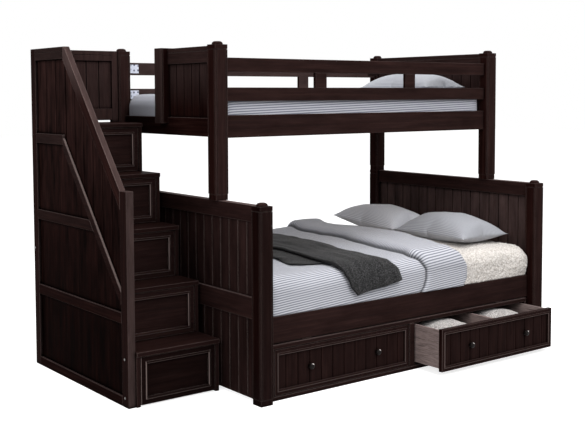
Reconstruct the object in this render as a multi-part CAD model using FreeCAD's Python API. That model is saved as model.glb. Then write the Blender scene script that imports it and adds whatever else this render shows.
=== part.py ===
import FreeCAD, Part
import math
import os

# Twin-over-full bunk bed: a full-size bed below, a twin loft at its back and drawer stairs at its foot.
# Working frame in millimetres: x from the outer face of the foot posts to the headboard, y from the
# front face of the lower front posts to the back, z up from the floor. Each solid is moved to the
# middle of the footprint when it is written.

Vec = FreeCAD.Vector

# Whole bed
bed_length = 2080.0
bed_depth = 1468.0
loft_depth = 1091.0
lower_height = 964.0
loft_height = 1747.0

# Fits and finish
seat_gap = 0.3
pin_play = 0.2
overrun = 5.0
arris = 1.6
arris_share = 0.2

# Posts
post_side = 76.0
post_chamfer = 3.0
post_bead_inset = 9.0
post_bead_width = 7.0
post_bead_depth = 3.0
post_neck_height = 3.0
post_neck_depth = 3.0
post_top_block = 22.0
post_foot_block = 28.0
post_foot_inset = 2.0
cap_diameter = 56.0
cap_height = 16.0
cap_rim = 5.0
cap_flat_diameter = 20.0
pin_diameter = 20.0
pin_depth = 40.0

# Headboard and footboard of the lower bed
end_rail_thick = 44.0
end_panel_thick = 16.0
end_top_rail = 80.0
end_mid_rail_low = 410.0
end_mid_rail = 106.0
end_panel_lift = 12.0

# Beadboard
bead_pitch = 78.0
bead_width = 7.0
bead_depth = 4.0

# Ends of the loft
loft_end_thick = 36.0
loft_end_tall = 467.0
loft_bottom_rail = 96.0
loft_top_rail = 84.0
loft_top_drop = 3.0
rail_bead_drop = 23.5
entry_front = 907.0
entry_lap = 33.0

# Side rails and guards
side_rail_thick = 22.0
lower_rail_low = 282.0
lower_rail_tall = 131.0
lower_rail_setback = 54.0
back_rail_setback = 32.0
loft_rail_drop = 471.0
loft_rail_tall = 115.0
loft_rail_setback = 32.0
guard_top_drop = 136.0
guard_top_tall = 72.0
guard_low_drop = 285.0
guard_low_tall = 70.0
guard_upright = 78.0
guard_upright_offset = 334.0
bracket_arm = 65.0
bracket_tall = 50.0
bracket_thick = 2.0

# Slats
slat_count = 13
slat_width = 70.0
slat_thick = 18.0
slat_play = 2.0
ledger_thick = 22.0
ledger_tall = 28.0
lower_slat_level = 330.0
loft_slat_drop = 437.0
beam_width = 44.0
beam_tall = 44.0
beam_end_room = 40.0
beam_leg_side = 44.0
beam_leg_shares = (0.15, 0.5, 0.85)

# Stairs
stair_width = 510.0
stair_setback = 6.0
stair_back_room = 21.0
stair_side_thick = 40.0
step_count = 5
landing_drop = 407.0
step_run = 191.3
step_board = 22.0
step_nosing = 8.0
riser_lead = 8.0
stair_back_board = 10.0
base_lift = 12.0
base_board = 12.0
front_stile = 63.0
front_stile_height = 1040.0
back_stile = 58.0
stair_panel_depth = 349.0
stair_top_rail = 63.0
handrail_thick = 32.0
handrail_width = 58.0
handrail_crest = 17.0
side_rail_proud = 13.0
side_board = 12.0
side_bead_pitch = 100.0
side_seam = 10.0
diagonal_top = 1272.0
diagonal_low = 551.0
diagonal_lead = 13.0
diagonal_width = 40.0
cross_rail = 53.0
cross_rail_high = 1236.0
cross_rail_mid = 817.0
cross_rail_low = 402.0
bottom_rail = 48.0
bolt_head = 12.0
bolt_head_tall = 3.0
bolt_shank = 6.0
bolt_grip = 15.0
bolt_front_low = 46.0
bolt_back_rise = 117.0
bolt_back_step = 2

# Guard at the back of the top tread
landing_guard_thick = 32.0
landing_guard_room = 15.0
landing_guard_top = 57.0
landing_guard_low = 66.0
landing_guard_gap = 12.0
landing_guard_stile = 40.0

# Stair drawers
reveal = 3.0
front_board = 10.0
front_frame = 10.0
front_border = 25.0
front_bead = 12.0
front_bead_proud = 3.0
front_floor_gap = 8.0
step_box_wall = 12.0
step_box_depth = 262.0
step_box_head_room = 56.0
step_box_bottom = 6.0

# Underbed drawer unit
unit_post_gap = 19.0
unit_front = 42.0
unit_tall = 277.0
unit_depth = 518.0
unit_frame_thick = 22.0
unit_top_rail = 21.0
unit_bottom_rail = 20.0
unit_side_stile = 15.0
unit_mid_stile = 38.0
unit_wall = 15.0
unit_partition = 18.0
unit_panel = 12.0
runner_tall = 18.0
runner_width = 38.0
spacer_length = 60.0
spacer_share = 0.12
drawer_reveal = 4.0
drawer_face_inset = 2.0
drawer_board = 14.0
drawer_frame = 10.0
drawer_border = 17.0
drawer_side = 14.0
drawer_side_inset = 4.0
drawer_depth = 446.0
drawer_tall = 207.0
drawer_bottom = 8.0
drawer_bottom_lift = 8.0
drawer_open = 204.0
knob_diameter = 32.0
knob_reach = 26.0
knob_base_diameter = 22.0
knob_base_tall = 4.0
knob_neck_diameter = 12.0
knob_neck_tall = 10.0
knob_flat_diameter = 8.0
knob_share = 0.25

# Lower bedding
mattress_end_play = 11.5
lower_mattress_tall = 212.0
lower_mattress_round = 60.0
mattress_end_round = 40.0
mattress_side_play = 1.0
mattress_crown = 4.0
cloth_gap = 0.4
duvet_side = 18.0
duvet_top = 43.0
duvet_round = 85.0
duvet_crown = 17.0
duvet_head_room = 512.5
duvet_foot_room = 23.5
duvet_band = 360.0
duvet_band_thick = 38.0
duvet_band_nose = 50.0
fleece_side = 16.0
fleece_top = 28.0
fleece_round = 75.0
fleece_crown = 5.0
fleece_end = 8.0
fleece_end_round = 45.0
throw_thick = 20.0
throw_fold_thick = 10.0
throw_head_edge = 620.0
throw_width = 310.0
throw_fold = 150.0
throw_fold_room = 130.0
throw_back_room = 92.0
throw_flare = 50.0
throw_slant = 90.0
throw_drop = 139.0
pillow_width = 402.0
pillow_length = 602.0
pillow_tall = 158.0
pillow_draw = 14.0
pillow_head_room = 2.0
pillow_front_room = 102.0
pillow_between = 8.0
pillow_seam_lift = 46.0
pillow_rim = 10.0

# Loft bedding
upper_mattress_tall = 168.0
upper_mattress_round = 45.0
upper_pillow_length = 630.0
upper_pillow_width = 350.0
upper_pillow_tall = 122.0
upper_pillow_head_room = 54.0
upper_pillow_front_room = 58.0
upper_pillow_seam_lift = 40.0

# Blankets in the open drawer
blanket_tall = 186.0
blanket_crown = 46.0
blanket_side_round = 40.0
blanket_wall_room = 6.0
blanket_width = 400.0
blanket_depth = 330.0
blanket_front_room = 12.0

# Stations along a pillow and a blanket, as shares of the length, and the shape at each of them
pillow_station_shares = (0.0, 0.12, 0.3, 0.5, 0.7, 0.88, 1.0)
pillow_tall_shares = (0.0, 0.62, 0.94, 1.0, 0.94, 0.62, 0.0)
pillow_draw_shares = (0.0, 0.5, 0.9, 1.0, 0.9, 0.5, 0.0)
blanket_station_shares = (0.0, 0.15, 0.5, 0.85, 1.0)
blanket_tall_shares = (0.72, 0.94, 1.0, 0.94, 0.72)
end_round_shares = (0.0, 0.3, 1.0)
end_inset_shares = (1.0, 0.3, 0.0)

# Places that follow from the sizes above
loft_front = bed_depth - loft_depth
head_post_x = bed_length - post_side
back_post_y = bed_depth - post_side
bed_middle = bed_length / 2
end_rail_inset = (post_side - end_rail_thick) / 2
end_panel_inset = (post_side - end_panel_thick) / 2
end_top_low = lower_height - end_top_rail
end_mid_rail_top = end_mid_rail_low + end_mid_rail
loft_bottom_rail_low = loft_height - loft_end_tall
loft_bottom_rail_top = loft_bottom_rail_low + loft_bottom_rail
loft_top_rail_top = loft_height - loft_top_drop
loft_top_rail_low = loft_top_rail_top - loft_top_rail
loft_panel_inset = post_side - (loft_end_thick + end_panel_thick) / 2
lower_rail_back = bed_depth - back_rail_setback
lower_rail_inner = lower_rail_setback + side_rail_thick
lower_back_inner = lower_rail_back - side_rail_thick
lower_rail_top = lower_rail_low + lower_rail_tall
loft_rail_low = loft_height - loft_rail_drop
guard_top_low = loft_height - guard_top_drop
guard_low_low = loft_height - guard_low_drop
loft_slat_level = loft_height - loft_slat_drop
loft_rail_face = loft_front + loft_rail_setback
loft_rail_inner = loft_rail_face + side_rail_thick
stair_front = loft_front - stair_setback
stair_back = bed_depth - stair_back_room
stair_side_inner = stair_side_thick - stair_width
step_left_inner = stair_side_inner + step_board
step_back = stair_back - stair_back_board
riser_front = stair_front - riser_lead
landing_height = loft_height - landing_drop
step_rise = landing_height / step_count
step_box_tall = step_rise - step_board - step_box_head_room
bolt_front_high = step_rise - step_board - bolt_head
bolt_back_high = bolt_back_step * step_rise + bolt_back_rise
stile_back = stair_front + front_stile
back_stile_front = stair_back - back_stile
seam_y = back_stile_front - stair_panel_depth
unit_left = post_side + unit_post_gap
unit_right = bed_length - unit_left
unit_back = unit_front + unit_depth
unit_frame_back = unit_front + unit_frame_thick
drawer_face = unit_front + drawer_face_inset
drawer_front_thick = drawer_board + drawer_frame
drawer_rest = unit_bottom_rail + runner_tall + seat_gap
runner_front = drawer_face + drawer_front_thick + seat_gap
mattress_seat = lower_slat_level + slat_thick + seat_gap
mattress_left = post_side + mattress_end_play
mattress_right = head_post_x - mattress_end_play
lower_mattress_front = lower_rail_inner + mattress_side_play
lower_mattress_back = lower_back_inner - mattress_side_play
lower_mattress_top = mattress_seat + lower_mattress_tall
cloth_low = lower_rail_top + seat_gap
duvet_left = mattress_left + duvet_foot_room
duvet_right = mattress_right - duvet_head_room
duvet_front = lower_mattress_front - cloth_gap - duvet_side
duvet_back = lower_mattress_back + cloth_gap + duvet_side
duvet_shoulder = lower_mattress_top + mattress_crown + duvet_top
fleece_shoulder = lower_mattress_top + mattress_crown + fleece_top
knob_tip = drawer_face - drawer_open + drawer_frame - knob_reach
origin_x = (bed_length - stair_width - bolt_head_tall) / 2
origin_y = (knob_tip + bed_depth) / 2

nodes = {}


# Basic shapes

def box(x0, x1, y0, y1, z0, z1):
    return Part.makeBox(x1 - x0, y1 - y0, z1 - z0, Vec(x0, y0, z0))


# A sawn board with all its edges eased.
def board(x0, x1, y0, y1, z0, z1):
    solid = box(x0, x1, y0, y1, z0, z1)
    ease = min(arris, arris_share * min(x1 - x0, y1 - y0, z1 - z0))
    return solid.makeChamfer(ease, solid.Edges)


def prism(corners, path):
    wire = Part.makePolygon(corners + corners[:1])
    return Part.Face(wire).extrude(path)


def prism_along_x(outline, x0, x1):
    return prism([Vec(x0, y, z) for y, z in outline], Vec(x1 - x0, 0, 0))


def prism_along_y(outline, y0, y1):
    return prism([Vec(x, y0, z) for x, z in outline], Vec(0, y1 - y0, 0))


def prism_along_z(outline, z0, z1):
    return prism([Vec(x, y, z0) for x, y in outline], Vec(0, 0, z1 - z0))


def rod(start, direction, diameter, length):
    return Part.makeCylinder(diameter / 2, length, start, direction)


def line(start, end):
    return Part.LineSegment(start, end).toShape()


def arc(start, middle, end):
    return Part.Arc(start, middle, end).toShape()


# The point on a round corner half-way between its two ends.
def corner_point(centre, away_one, away_two):
    return centre + (away_one + away_two) * math.sqrt(1 / 2)


# Edges of a solid that lie wholly in the plane y = place.
def edges_in_y_plane(solid, place):
    return [edge for edge in solid.Edges if all(abs(v.Y - place) < seat_gap for v in edge.Vertexes)]


# Posts

def chamfered_square(inset):
    low = inset
    high = post_side - inset
    cut = post_chamfer
    return [(low + cut, low), (high - cut, low), (high, low + cut), (high, high - cut),
            (high - cut, high), (low + cut, high), (low, high - cut), (low, low + cut)]


# Square section with chamfered corners and a V-groove beside each corner on every face.
def grooved_square():
    half = post_bead_width / 2
    far = post_side - post_bead_inset
    face = [(post_chamfer, 0), (post_bead_inset - half, 0), (post_bead_inset, post_bead_depth),
            (post_bead_inset + half, 0), (far - half, 0), (far, post_bead_depth), (far + half, 0),
            (post_side - post_chamfer, 0)]
    outline = []
    for quarter in range(4):
        outline += face
        face = [(post_side - v, u) for u, v in face]
    return outline


def moved(outline, x0, y0):
    return [(x0 + u, y0 + v) for u, v in outline]


def post(x0, y0, z0, z1):
    foot_top = z0 + post_foot_block
    shaft_low = foot_top + post_neck_height
    block_low = z1 - post_top_block
    shaft_top = block_low - post_neck_height
    neck = moved(chamfered_square(post_neck_depth), x0, y0)
    foot = prism_along_z(moved(chamfered_square(post_foot_inset), x0, y0), z0, foot_top)
    low_neck = prism_along_z(neck, foot_top, shaft_low)
    shaft = prism_along_z(moved(grooved_square(), x0, y0), shaft_low, shaft_top)
    top_neck = prism_along_z(neck, shaft_top, block_low)
    top = prism_along_z(moved(chamfered_square(0), x0, y0), block_low, z1)
    return foot.fuse([low_neck, shaft, top_neck, top]).removeSplitter()


# Turned button on top of a post.
def button(x, y, z):
    radius = cap_diameter / 2
    flat = cap_flat_diameter / 2
    lean = math.sqrt(1 / 2)
    centre = Vec(x, y, z)
    foot = centre + Vec(radius, 0, 0)
    rim = centre + Vec(radius, 0, cap_rim)
    shoulder = centre + Vec(flat + (radius - flat) * lean, 0, cap_rim + (cap_height - cap_rim) * lean)
    brow = centre + Vec(flat, 0, cap_height)
    crown = centre + Vec(0, 0, cap_height)
    wire = Part.Wire([line(centre, foot), line(foot, rim), arc(rim, shoulder, brow), line(brow, crown),
                      line(crown, centre)])
    return Part.Face(wire).revolve(centre, Vec(0, 0, 1), 360)


def pin_hole(x, y):
    start = Vec(x, y, lower_height - pin_depth - pin_play)
    return rod(start, Vec(0, 0, 1), pin_diameter + 2 * pin_play, 2 * (pin_depth + pin_play))


# Boards with V-grooves

# Outline of a board of the given run and thickness, with grooves on one face or on both.
def bead_outline(run, thick, pitch, both):
    count = max(1, round(run / pitch))
    half = bead_width / 2
    front = [(0, 0)]
    for place in range(1, count):
        at = run * place / count
        front += [(at - half, 0), (at, bead_depth), (at + half, 0)]
    front.append((run, 0))
    back = [(run, thick), (0, thick)]
    if both:
        back = [(u, thick - t) for u, t in reversed(front)]
    return front + back


# Beadboard that runs along y, its grooved face towards -x.
def beadboard_y(x0, y0, y1, z0, z1, thick, pitch, both):
    outline = [(x0 + t, y0 + u) for u, t in bead_outline(y1 - y0, thick, pitch, both)]
    return prism_along_z(outline, z0, z1)


# Beadboard that runs along x, its grooved face towards -y.
def beadboard_x(x0, x1, y0, z0, z1, thick, both):
    outline = [(x0 + u, y0 + t) for u, t in bead_outline(x1 - x0, thick, bead_pitch, both)]
    return prism_along_z(outline, z0, z1)


# Section of a top rail with a groove on both faces under its cap, as (thickness, height) points.
def capped_section(thick, low, top):
    half = post_neck_height / 2
    bead = top - rail_bead_drop
    side = [(0, low + arris), (0, bead - half), (post_neck_depth, bead), (0, bead + half), (0, top - arris)]
    other = [(thick - t, z) for t, z in reversed(side)]
    return side + [(arris, top), (thick - arris, top)] + other + [(thick - arris, low), (arris, low)]


def capped_rail_y(x0, x1, y0, y1, low, top):
    return prism_along_y([(x0 + t, z) for t, z in capped_section(x1 - x0, low, top)], y0, y1)


def capped_rail_x(x0, x1, y0, y1, low, top):
    return prism_along_x([(y0 + t, z) for t, z in capped_section(y1 - y0, low, top)], x0, x1)


# Lower bed

def make_lower_bed():
    corners = {"foot_front": (0, 0), "foot_back": (0, back_post_y),
               "head_front": (head_post_x, 0), "head_back": (head_post_x, back_post_y)}
    half = post_side / 2
    for place, (x, y) in corners.items():
        solid = post(x, y, 0, lower_height)
        if y > 0:
            solid = solid.cut(pin_hole(x + half, y + half))
        nodes["lower_post_" + place] = [solid]

    pin_y = loft_front + half
    for name, x in (("footboard", 0), ("headboard", head_post_x)):
        rail_x = x + end_rail_inset
        panel_x = x + end_panel_inset
        top = board(rail_x, rail_x + end_rail_thick, post_side, back_post_y, end_top_low, lower_height)
        mid = board(rail_x, rail_x + end_rail_thick, post_side, back_post_y,
                    end_mid_rail_low, end_mid_rail_top)
        nodes[name + "_rails"] = [top.cut(pin_hole(x + half, pin_y)), mid]
        nodes[name + "_panels"] = [
            beadboard_y(panel_x, post_side, back_post_y, end_mid_rail_top, end_top_low,
                        end_panel_thick, bead_pitch, True),
            beadboard_y(panel_x, post_side, back_post_y, end_panel_lift, end_mid_rail_low,
                        end_panel_thick, bead_pitch, True)]

    nodes["lower_side_rail_front"] = [board(post_side, head_post_x, lower_rail_setback, lower_rail_inner,
                                            lower_rail_low, lower_rail_top)]
    nodes["lower_side_rail_back"] = [board(post_side, head_post_x, lower_back_inner, lower_rail_back,
                                           lower_rail_low, lower_rail_top)]
    nodes["lower_slats"] = slats(lower_rail_inner, lower_back_inner, lower_slat_level)


def slats(front, back, level):
    first = post_side + slat_width
    last = head_post_x - slat_width
    made = []
    for index in range(slat_count):
        middle = first + (last - first) * index / (slat_count - 1)
        made.append(board(middle - slat_width / 2, middle + slat_width / 2, front + slat_play,
                          back - slat_play, level, level + slat_thick))
    return made


def make_slat_supports():
    made = []
    for front, back, level in ((lower_rail_inner, lower_back_inner, lower_slat_level),
                               (loft_rail_inner, lower_back_inner, loft_slat_level)):
        made.append(board(post_side, head_post_x, front, front + ledger_thick, level - ledger_tall, level))
        made.append(board(post_side, head_post_x, back - ledger_thick, back, level - ledger_tall, level))
    middle = (lower_rail_inner + lower_back_inner) / 2
    beam_low = lower_slat_level - beam_tall
    beam_left = post_side + beam_end_room
    beam_right = head_post_x - beam_end_room
    made.append(board(beam_left, beam_right, middle - beam_width / 2, middle + beam_width / 2,
                      beam_low, lower_slat_level))
    for share in beam_leg_shares:
        x = beam_left + share * (beam_right - beam_left)
        made.append(board(x - beam_leg_side / 2, x + beam_leg_side / 2, middle - beam_leg_side / 2,
                          middle + beam_leg_side / 2, 0, beam_low))
    nodes["slat_supports"] = made


# Loft

def make_loft():
    corners = {"foot_front": (0, loft_front), "foot_back": (0, back_post_y),
               "head_front": (head_post_x, loft_front), "head_back": (head_post_x, back_post_y)}
    half = post_side / 2
    for place, (x, y) in corners.items():
        solid = post(x, y, lower_height, loft_height)
        nodes["upper_post_" + place] = [solid.cut(pin_hole(x + half, y + half))]

    front = loft_front + post_side
    foot_rail_x = post_side - loft_end_thick
    head_rail_x = head_post_x
    entry_back = entry_front + post_side

    nodes["loft_foot_rails"] = [
        board(foot_rail_x, post_side, front, back_post_y, loft_bottom_rail_low, loft_bottom_rail_top),
        capped_rail_y(foot_rail_x, post_side, front, entry_front, loft_top_rail_low, loft_top_rail_top)]
    nodes["loft_foot_panel"] = [
        beadboard_y(loft_panel_inset, front, entry_front, loft_bottom_rail_top, loft_top_rail_low,
                    end_panel_thick, bead_pitch, True)]
    nodes["loft_head_rails"] = [
        board(head_rail_x, head_rail_x + loft_end_thick, front, back_post_y,
              loft_bottom_rail_low, loft_bottom_rail_top),
        capped_rail_y(head_rail_x, head_rail_x + loft_end_thick, front, back_post_y,
                      loft_top_rail_low, loft_top_rail_top)]
    nodes["loft_head_panel"] = [
        beadboard_y(bed_length - loft_panel_inset - end_panel_thick, front, back_post_y,
                    loft_bottom_rail_top, loft_top_rail_low, end_panel_thick, bead_pitch, True)]

    # The entry post laps over the outer face of the bottom rail.
    entry_low = loft_bottom_rail_top - entry_lap
    entry = prism_along_z(moved(grooved_square(), 0, entry_front), entry_low, loft_height)
    lap = box(foot_rail_x, post_side + overrun, entry_front - overrun, entry_back + overrun,
              entry_low - overrun, loft_bottom_rail_top)
    nodes["entry_post"] = [entry.cut(lap)]

    for name, y in (("front", loft_rail_face), ("back", lower_back_inner)):
        y_far = y + side_rail_thick
        nodes["loft_side_rail_" + name] = [board(post_side, head_post_x, y, y_far,
                                                 loft_rail_low, loft_rail_low + loft_rail_tall)]
        guard_low_top = guard_low_low + guard_low_tall
        guard = [board(post_side, head_post_x, y, y_far, guard_top_low, guard_top_low + guard_top_tall),
                 board(post_side, head_post_x, y, y_far, guard_low_low, guard_low_top)]
        for side in (-1, 1):
            x = bed_middle + side * guard_upright_offset
            guard.append(board(x - guard_upright / 2, x + guard_upright / 2, y, y_far,
                               guard_low_top, guard_top_low))
        nodes[name + "_guard"] = guard
    nodes["loft_slats"] = slats(loft_rail_inner, lower_back_inner, loft_slat_level)


# Steel angle with one arm on the inner face of a guard rail and the other on the post.
def angle_bracket(corner_x, side, low):
    inner = lower_back_inner
    outline = [(0, inner), (bracket_arm, inner), (bracket_arm, inner - bracket_thick),
               (bracket_thick, inner - bracket_thick), (bracket_thick, back_post_y), (0, back_post_y)]
    return prism_along_z([(corner_x + side * x, y) for x, y in outline], low, low + bracket_tall)


def make_hardware():
    half = post_side / 2
    caps = []
    for x in (half, bed_length - half):
        caps.append(button(x, half, lower_height))
        caps.append(button(x, loft_front + half, loft_height))
        caps.append(button(x, back_post_y + half, loft_height))
    nodes["post_caps"] = caps

    brackets = []
    for low, tall in ((guard_top_low, guard_top_tall), (guard_low_low, guard_low_tall)):
        z = low + (tall - bracket_tall) / 2
        brackets.append(angle_bracket(post_side, 1, z))
        brackets.append(angle_bracket(head_post_x, -1, z))
    nodes["guard_brackets"] = brackets

    steel = []
    for x in (half, bed_length - half):
        for y in (loft_front + half, back_post_y + half):
            steel.append(rod(Vec(x, y, lower_height - pin_depth), Vec(0, 0, 1), pin_diameter, 2 * pin_depth))
    for y, z in stair_bolt_places():
        head = rod(Vec(-stair_width - bolt_head_tall, y, z), Vec(1, 0, 0), bolt_head, bolt_head_tall)
        shank = rod(Vec(-stair_width, y, z), Vec(1, 0, 0), bolt_shank, stair_side_thick + bolt_grip)
        steel.append(head.fuse(shank).removeSplitter())
    nodes["steel_fasteners"] = steel


# Stairs

def stair_bolt_places():
    front = stair_front + front_stile / 2
    back = stair_back - bolt_back_room()
    return ((front, bolt_front_low), (front, bolt_front_high), (back, bolt_back_high))


# The back bolt stands in the part of the stile that backs on to the step sides.
def bolt_back_room():
    return stair_back_board + bolt_head


def bolt_hole(y, z):
    return rod(Vec(-stair_width - overrun, y, z), Vec(1, 0, 0), bolt_shank + 2 * pin_play,
               stair_side_thick + bolt_grip + overrun + pin_play)


# Height of the upper edge of a sloping rail at y, from its low end to its high end.
def slope_height(y, low, high):
    share = (y - low[0]) / (high[0] - low[0])
    return low[1] + share * (high[1] - low[1])


# Upright measure of a sloping rail of the given width.
def upright_width(width, low, high):
    return width / math.cos(math.atan2(high[1] - low[1], high[0] - low[0]))


def make_stair_side():
    outer = -stair_width
    face_back = outer + side_rail_proud
    board_back = face_back + side_board
    holes = [bolt_hole(y, z) for y, z in stair_bolt_places()]

    front = board(outer, stair_side_inner, stair_front, stile_back, 0, front_stile_height)
    back = board(outer, stair_side_inner, back_stile_front, stair_back, 0, loft_height)
    nodes["stair_side_stiles"] = [front.cut(holes), back.cut(holes)]

    hand_low = (stile_back, front_stile_height)
    hand_high = (seam_y - handrail_crest, loft_height)
    hand_drop = upright_width(handrail_width, hand_low, hand_high)
    hand_back_low = slope_height(seam_y, hand_low, hand_high) - hand_drop
    outline = [hand_low, hand_high, (seam_y, loft_height), (seam_y, hand_back_low),
               (stile_back, front_stile_height - hand_drop)]
    rail = prism_along_x(outline, outer, outer + handrail_thick)
    nodes["stair_handrail"] = [rail.makeChamfer(arris, rail.Edges)]

    diagonal_y = seam_y + diagonal_lead
    slope_low = (stile_back, diagonal_low)
    slope_high = (diagonal_y, diagonal_top)
    slope_drop = upright_width(diagonal_width, slope_low, slope_high)

    def under_edge_y(z):
        share = (z + slope_drop - slope_low[1]) / (slope_high[1] - slope_low[1])
        return slope_low[0] + share * (slope_high[0] - slope_low[0])

    diagonal = prism_along_x([slope_low, slope_high, (diagonal_y, diagonal_top - slope_drop),
                              (stile_back, diagonal_low - slope_drop)], outer, face_back)
    mid_top = cross_rail_mid + cross_rail
    mid = prism_along_x([(under_edge_y(mid_top), mid_top), (back_stile_front, mid_top),
                         (back_stile_front, cross_rail_mid), (under_edge_y(cross_rail_mid), cross_rail_mid)],
                        outer, face_back)
    top = capped_rail_y(outer, stair_side_inner, seam_y, back_stile_front,
                        loft_height - stair_top_rail, loft_height)
    high = board(outer, face_back, diagonal_y, back_stile_front, cross_rail_high, cross_rail_high + cross_rail)
    low = board(outer, face_back, stile_back, back_stile_front, cross_rail_low, cross_rail_low + cross_rail)
    bottom = board(outer, face_back, stile_back, back_stile_front, 0, bottom_rail)
    nodes["stair_side_rails"] = [top, high, low, bottom, mid.makeChamfer(arris, mid.Edges),
                                 diagonal.makeChamfer(arris, diagonal.Edges)]

    # Boards behind the rails: one beadboard under the top rail, one under the handrail, a plain one below.
    joint = cross_rail_high + cross_rail / 2

    def seam_height(y):
        return slope_height(y, slope_low, slope_high) - slope_drop / 2

    upper = beadboard_y(face_back, seam_y, back_stile_front, joint, loft_height - stair_top_rail,
                        side_board, side_bead_pitch, False)
    band_back = seam_y - side_seam
    band = beadboard_y(face_back, stile_back, band_back, diagonal_low - slope_drop, loft_height,
                       side_board, side_bead_pitch, False)
    band_shape = [(stile_back, seam_height(stile_back)), (band_back, seam_height(band_back)),
                  (band_back, slope_height(band_back, hand_low, hand_high) - hand_drop),
                  (stile_back, front_stile_height - hand_drop)]
    band = band.common(prism_along_x(band_shape, face_back, board_back))
    lower = prism_along_x([(stile_back, 0), (back_stile_front, 0), (back_stile_front, joint),
                           (diagonal_y, joint), (diagonal_y, seam_height(diagonal_y)),
                           (stile_back, seam_height(stile_back))], face_back, board_back)
    nodes["stair_side_panels"] = [upper, band, lower]


def riser_y(level):
    return riser_front + (level - 1) * step_run


def make_steps():
    holes = [bolt_hole(y, z) for y, z in stair_bolt_places()]
    sides = []
    treads = []
    for level in range(1, step_count + 1):
        low = (level - 1) * step_rise
        under = level * step_rise - step_board
        left = board(stair_side_inner, step_left_inner, riser_y(level), step_back, low, under)
        sides.append(left.cut(holes))
        sides.append(board(-step_board, 0, riser_y(level), step_back, low, under))
        treads.append(board(stair_side_inner, 0, riser_y(level) - step_nosing, step_back,
                            under, level * step_rise))
    base_front = riser_front + front_board + front_frame + reveal
    treads.append(board(step_left_inner, -step_board, base_front, step_back,
                        base_lift, base_lift + base_board))
    nodes["stair_step_sides"] = sides
    nodes["stair_treads"] = treads
    nodes["stair_back_panel"] = [board(stair_side_inner, 0, step_back, stair_back, 0, landing_height)]

    back = stair_back - landing_guard_room
    front = back - landing_guard_thick
    panel_front = front + (landing_guard_thick - side_board) / 2
    left = stair_side_inner + landing_guard_stile
    right = -landing_guard_stile
    rail_low = landing_height + landing_guard_gap
    rail_top = rail_low + landing_guard_low
    top_low = loft_height - landing_guard_top
    nodes["stair_back_guard"] = [
        board(stair_side_inner, left, front, back, landing_height, loft_height),
        board(right, 0, front, back, landing_height, loft_height),
        capped_rail_x(left, right, front, back, top_low, loft_height),
        board(left, right, front, back, rail_low, rail_top),
        beadboard_x(left, right, panel_front, rail_top, top_low, side_board, True)]


# Drawers

# Moulding ring with a rounded face, lying on the front board of a drawer.
def bead_ring(x0, x1, z0, z1, y_face, y_back):
    ring_round = front_bead * (1 - arris_share) / 2
    block = box(x0, x1, y_face, y_back, z0, z1)
    block = block.makeFillet(ring_round, edges_in_y_plane(block, y_face))
    x_in, x_out = x0 + front_bead, x1 - front_bead
    z_in, z_out = z0 + front_bead, z1 - front_bead
    ring = block.cut(box(x_in, x_out, y_face - overrun, y_back + overrun, z_in, z_out))
    inner = [edge for edge in edges_in_y_plane(ring, y_face)
             if all(x_in - seat_gap < v.X < x_out + seat_gap for v in edge.Vertexes)
             and all(z_in - seat_gap < v.Z < z_out + seat_gap for v in edge.Vertexes)]
    return ring.makeFillet(ring_round, inner)


# Frame and moulding in front of a drawer's front board.
def front_trim(x0, x1, y_face, z0, z1, frame, border):
    y_back = y_face + frame
    hole = box(x0 + border, x1 - border, y_face - overrun, y_back + overrun, z0 + border, z1 - border)
    ring = board(x0, x1, y_face, y_back, z0, z1).cut(hole)
    bead = bead_ring(x0 + border, x1 - border, z0 + border, z1 - border, y_face - front_bead_proud, y_back)
    return [ring, bead]


# Open box behind a drawer front: two sides, a back and a bottom between them.
def drawer_box(x0, x1, y0, y1, z0, z1, wall, bottom, bottom_lift):
    inner_left, inner_right = x0 + wall, x1 - wall
    floor = z0 + bottom_lift
    return [board(x0, inner_left, y0, y1, z0, z1), board(inner_right, x1, y0, y1, z0, z1),
            board(inner_left, inner_right, y1 - wall, y1, z0, z1),
            board(inner_left, inner_right, y0, y1 - wall, floor, floor + bottom)]


def make_stair_drawers():
    left = step_left_inner + reveal
    right = -step_board - reveal
    for level in range(1, step_count + 1):
        shelf = (level - 1) * step_rise if level > 1 else base_lift + base_board
        low = (level - 1) * step_rise + reveal if level > 1 else front_floor_gap
        top = level * step_rise - step_board - reveal
        face = riser_y(level)
        back = face + front_frame + front_board
        front = board(left, right, face + front_frame, back, low, top)
        trim = front_trim(left, right, face, low, top, front_frame, front_border)
        rest = shelf + seat_gap
        walls = drawer_box(left, right, back, back + step_box_depth, rest, rest + step_box_tall,
                           step_box_wall, step_box_bottom, 0)
        nodes["stair_drawer_%d" % level] = [front] + trim + walls


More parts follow.
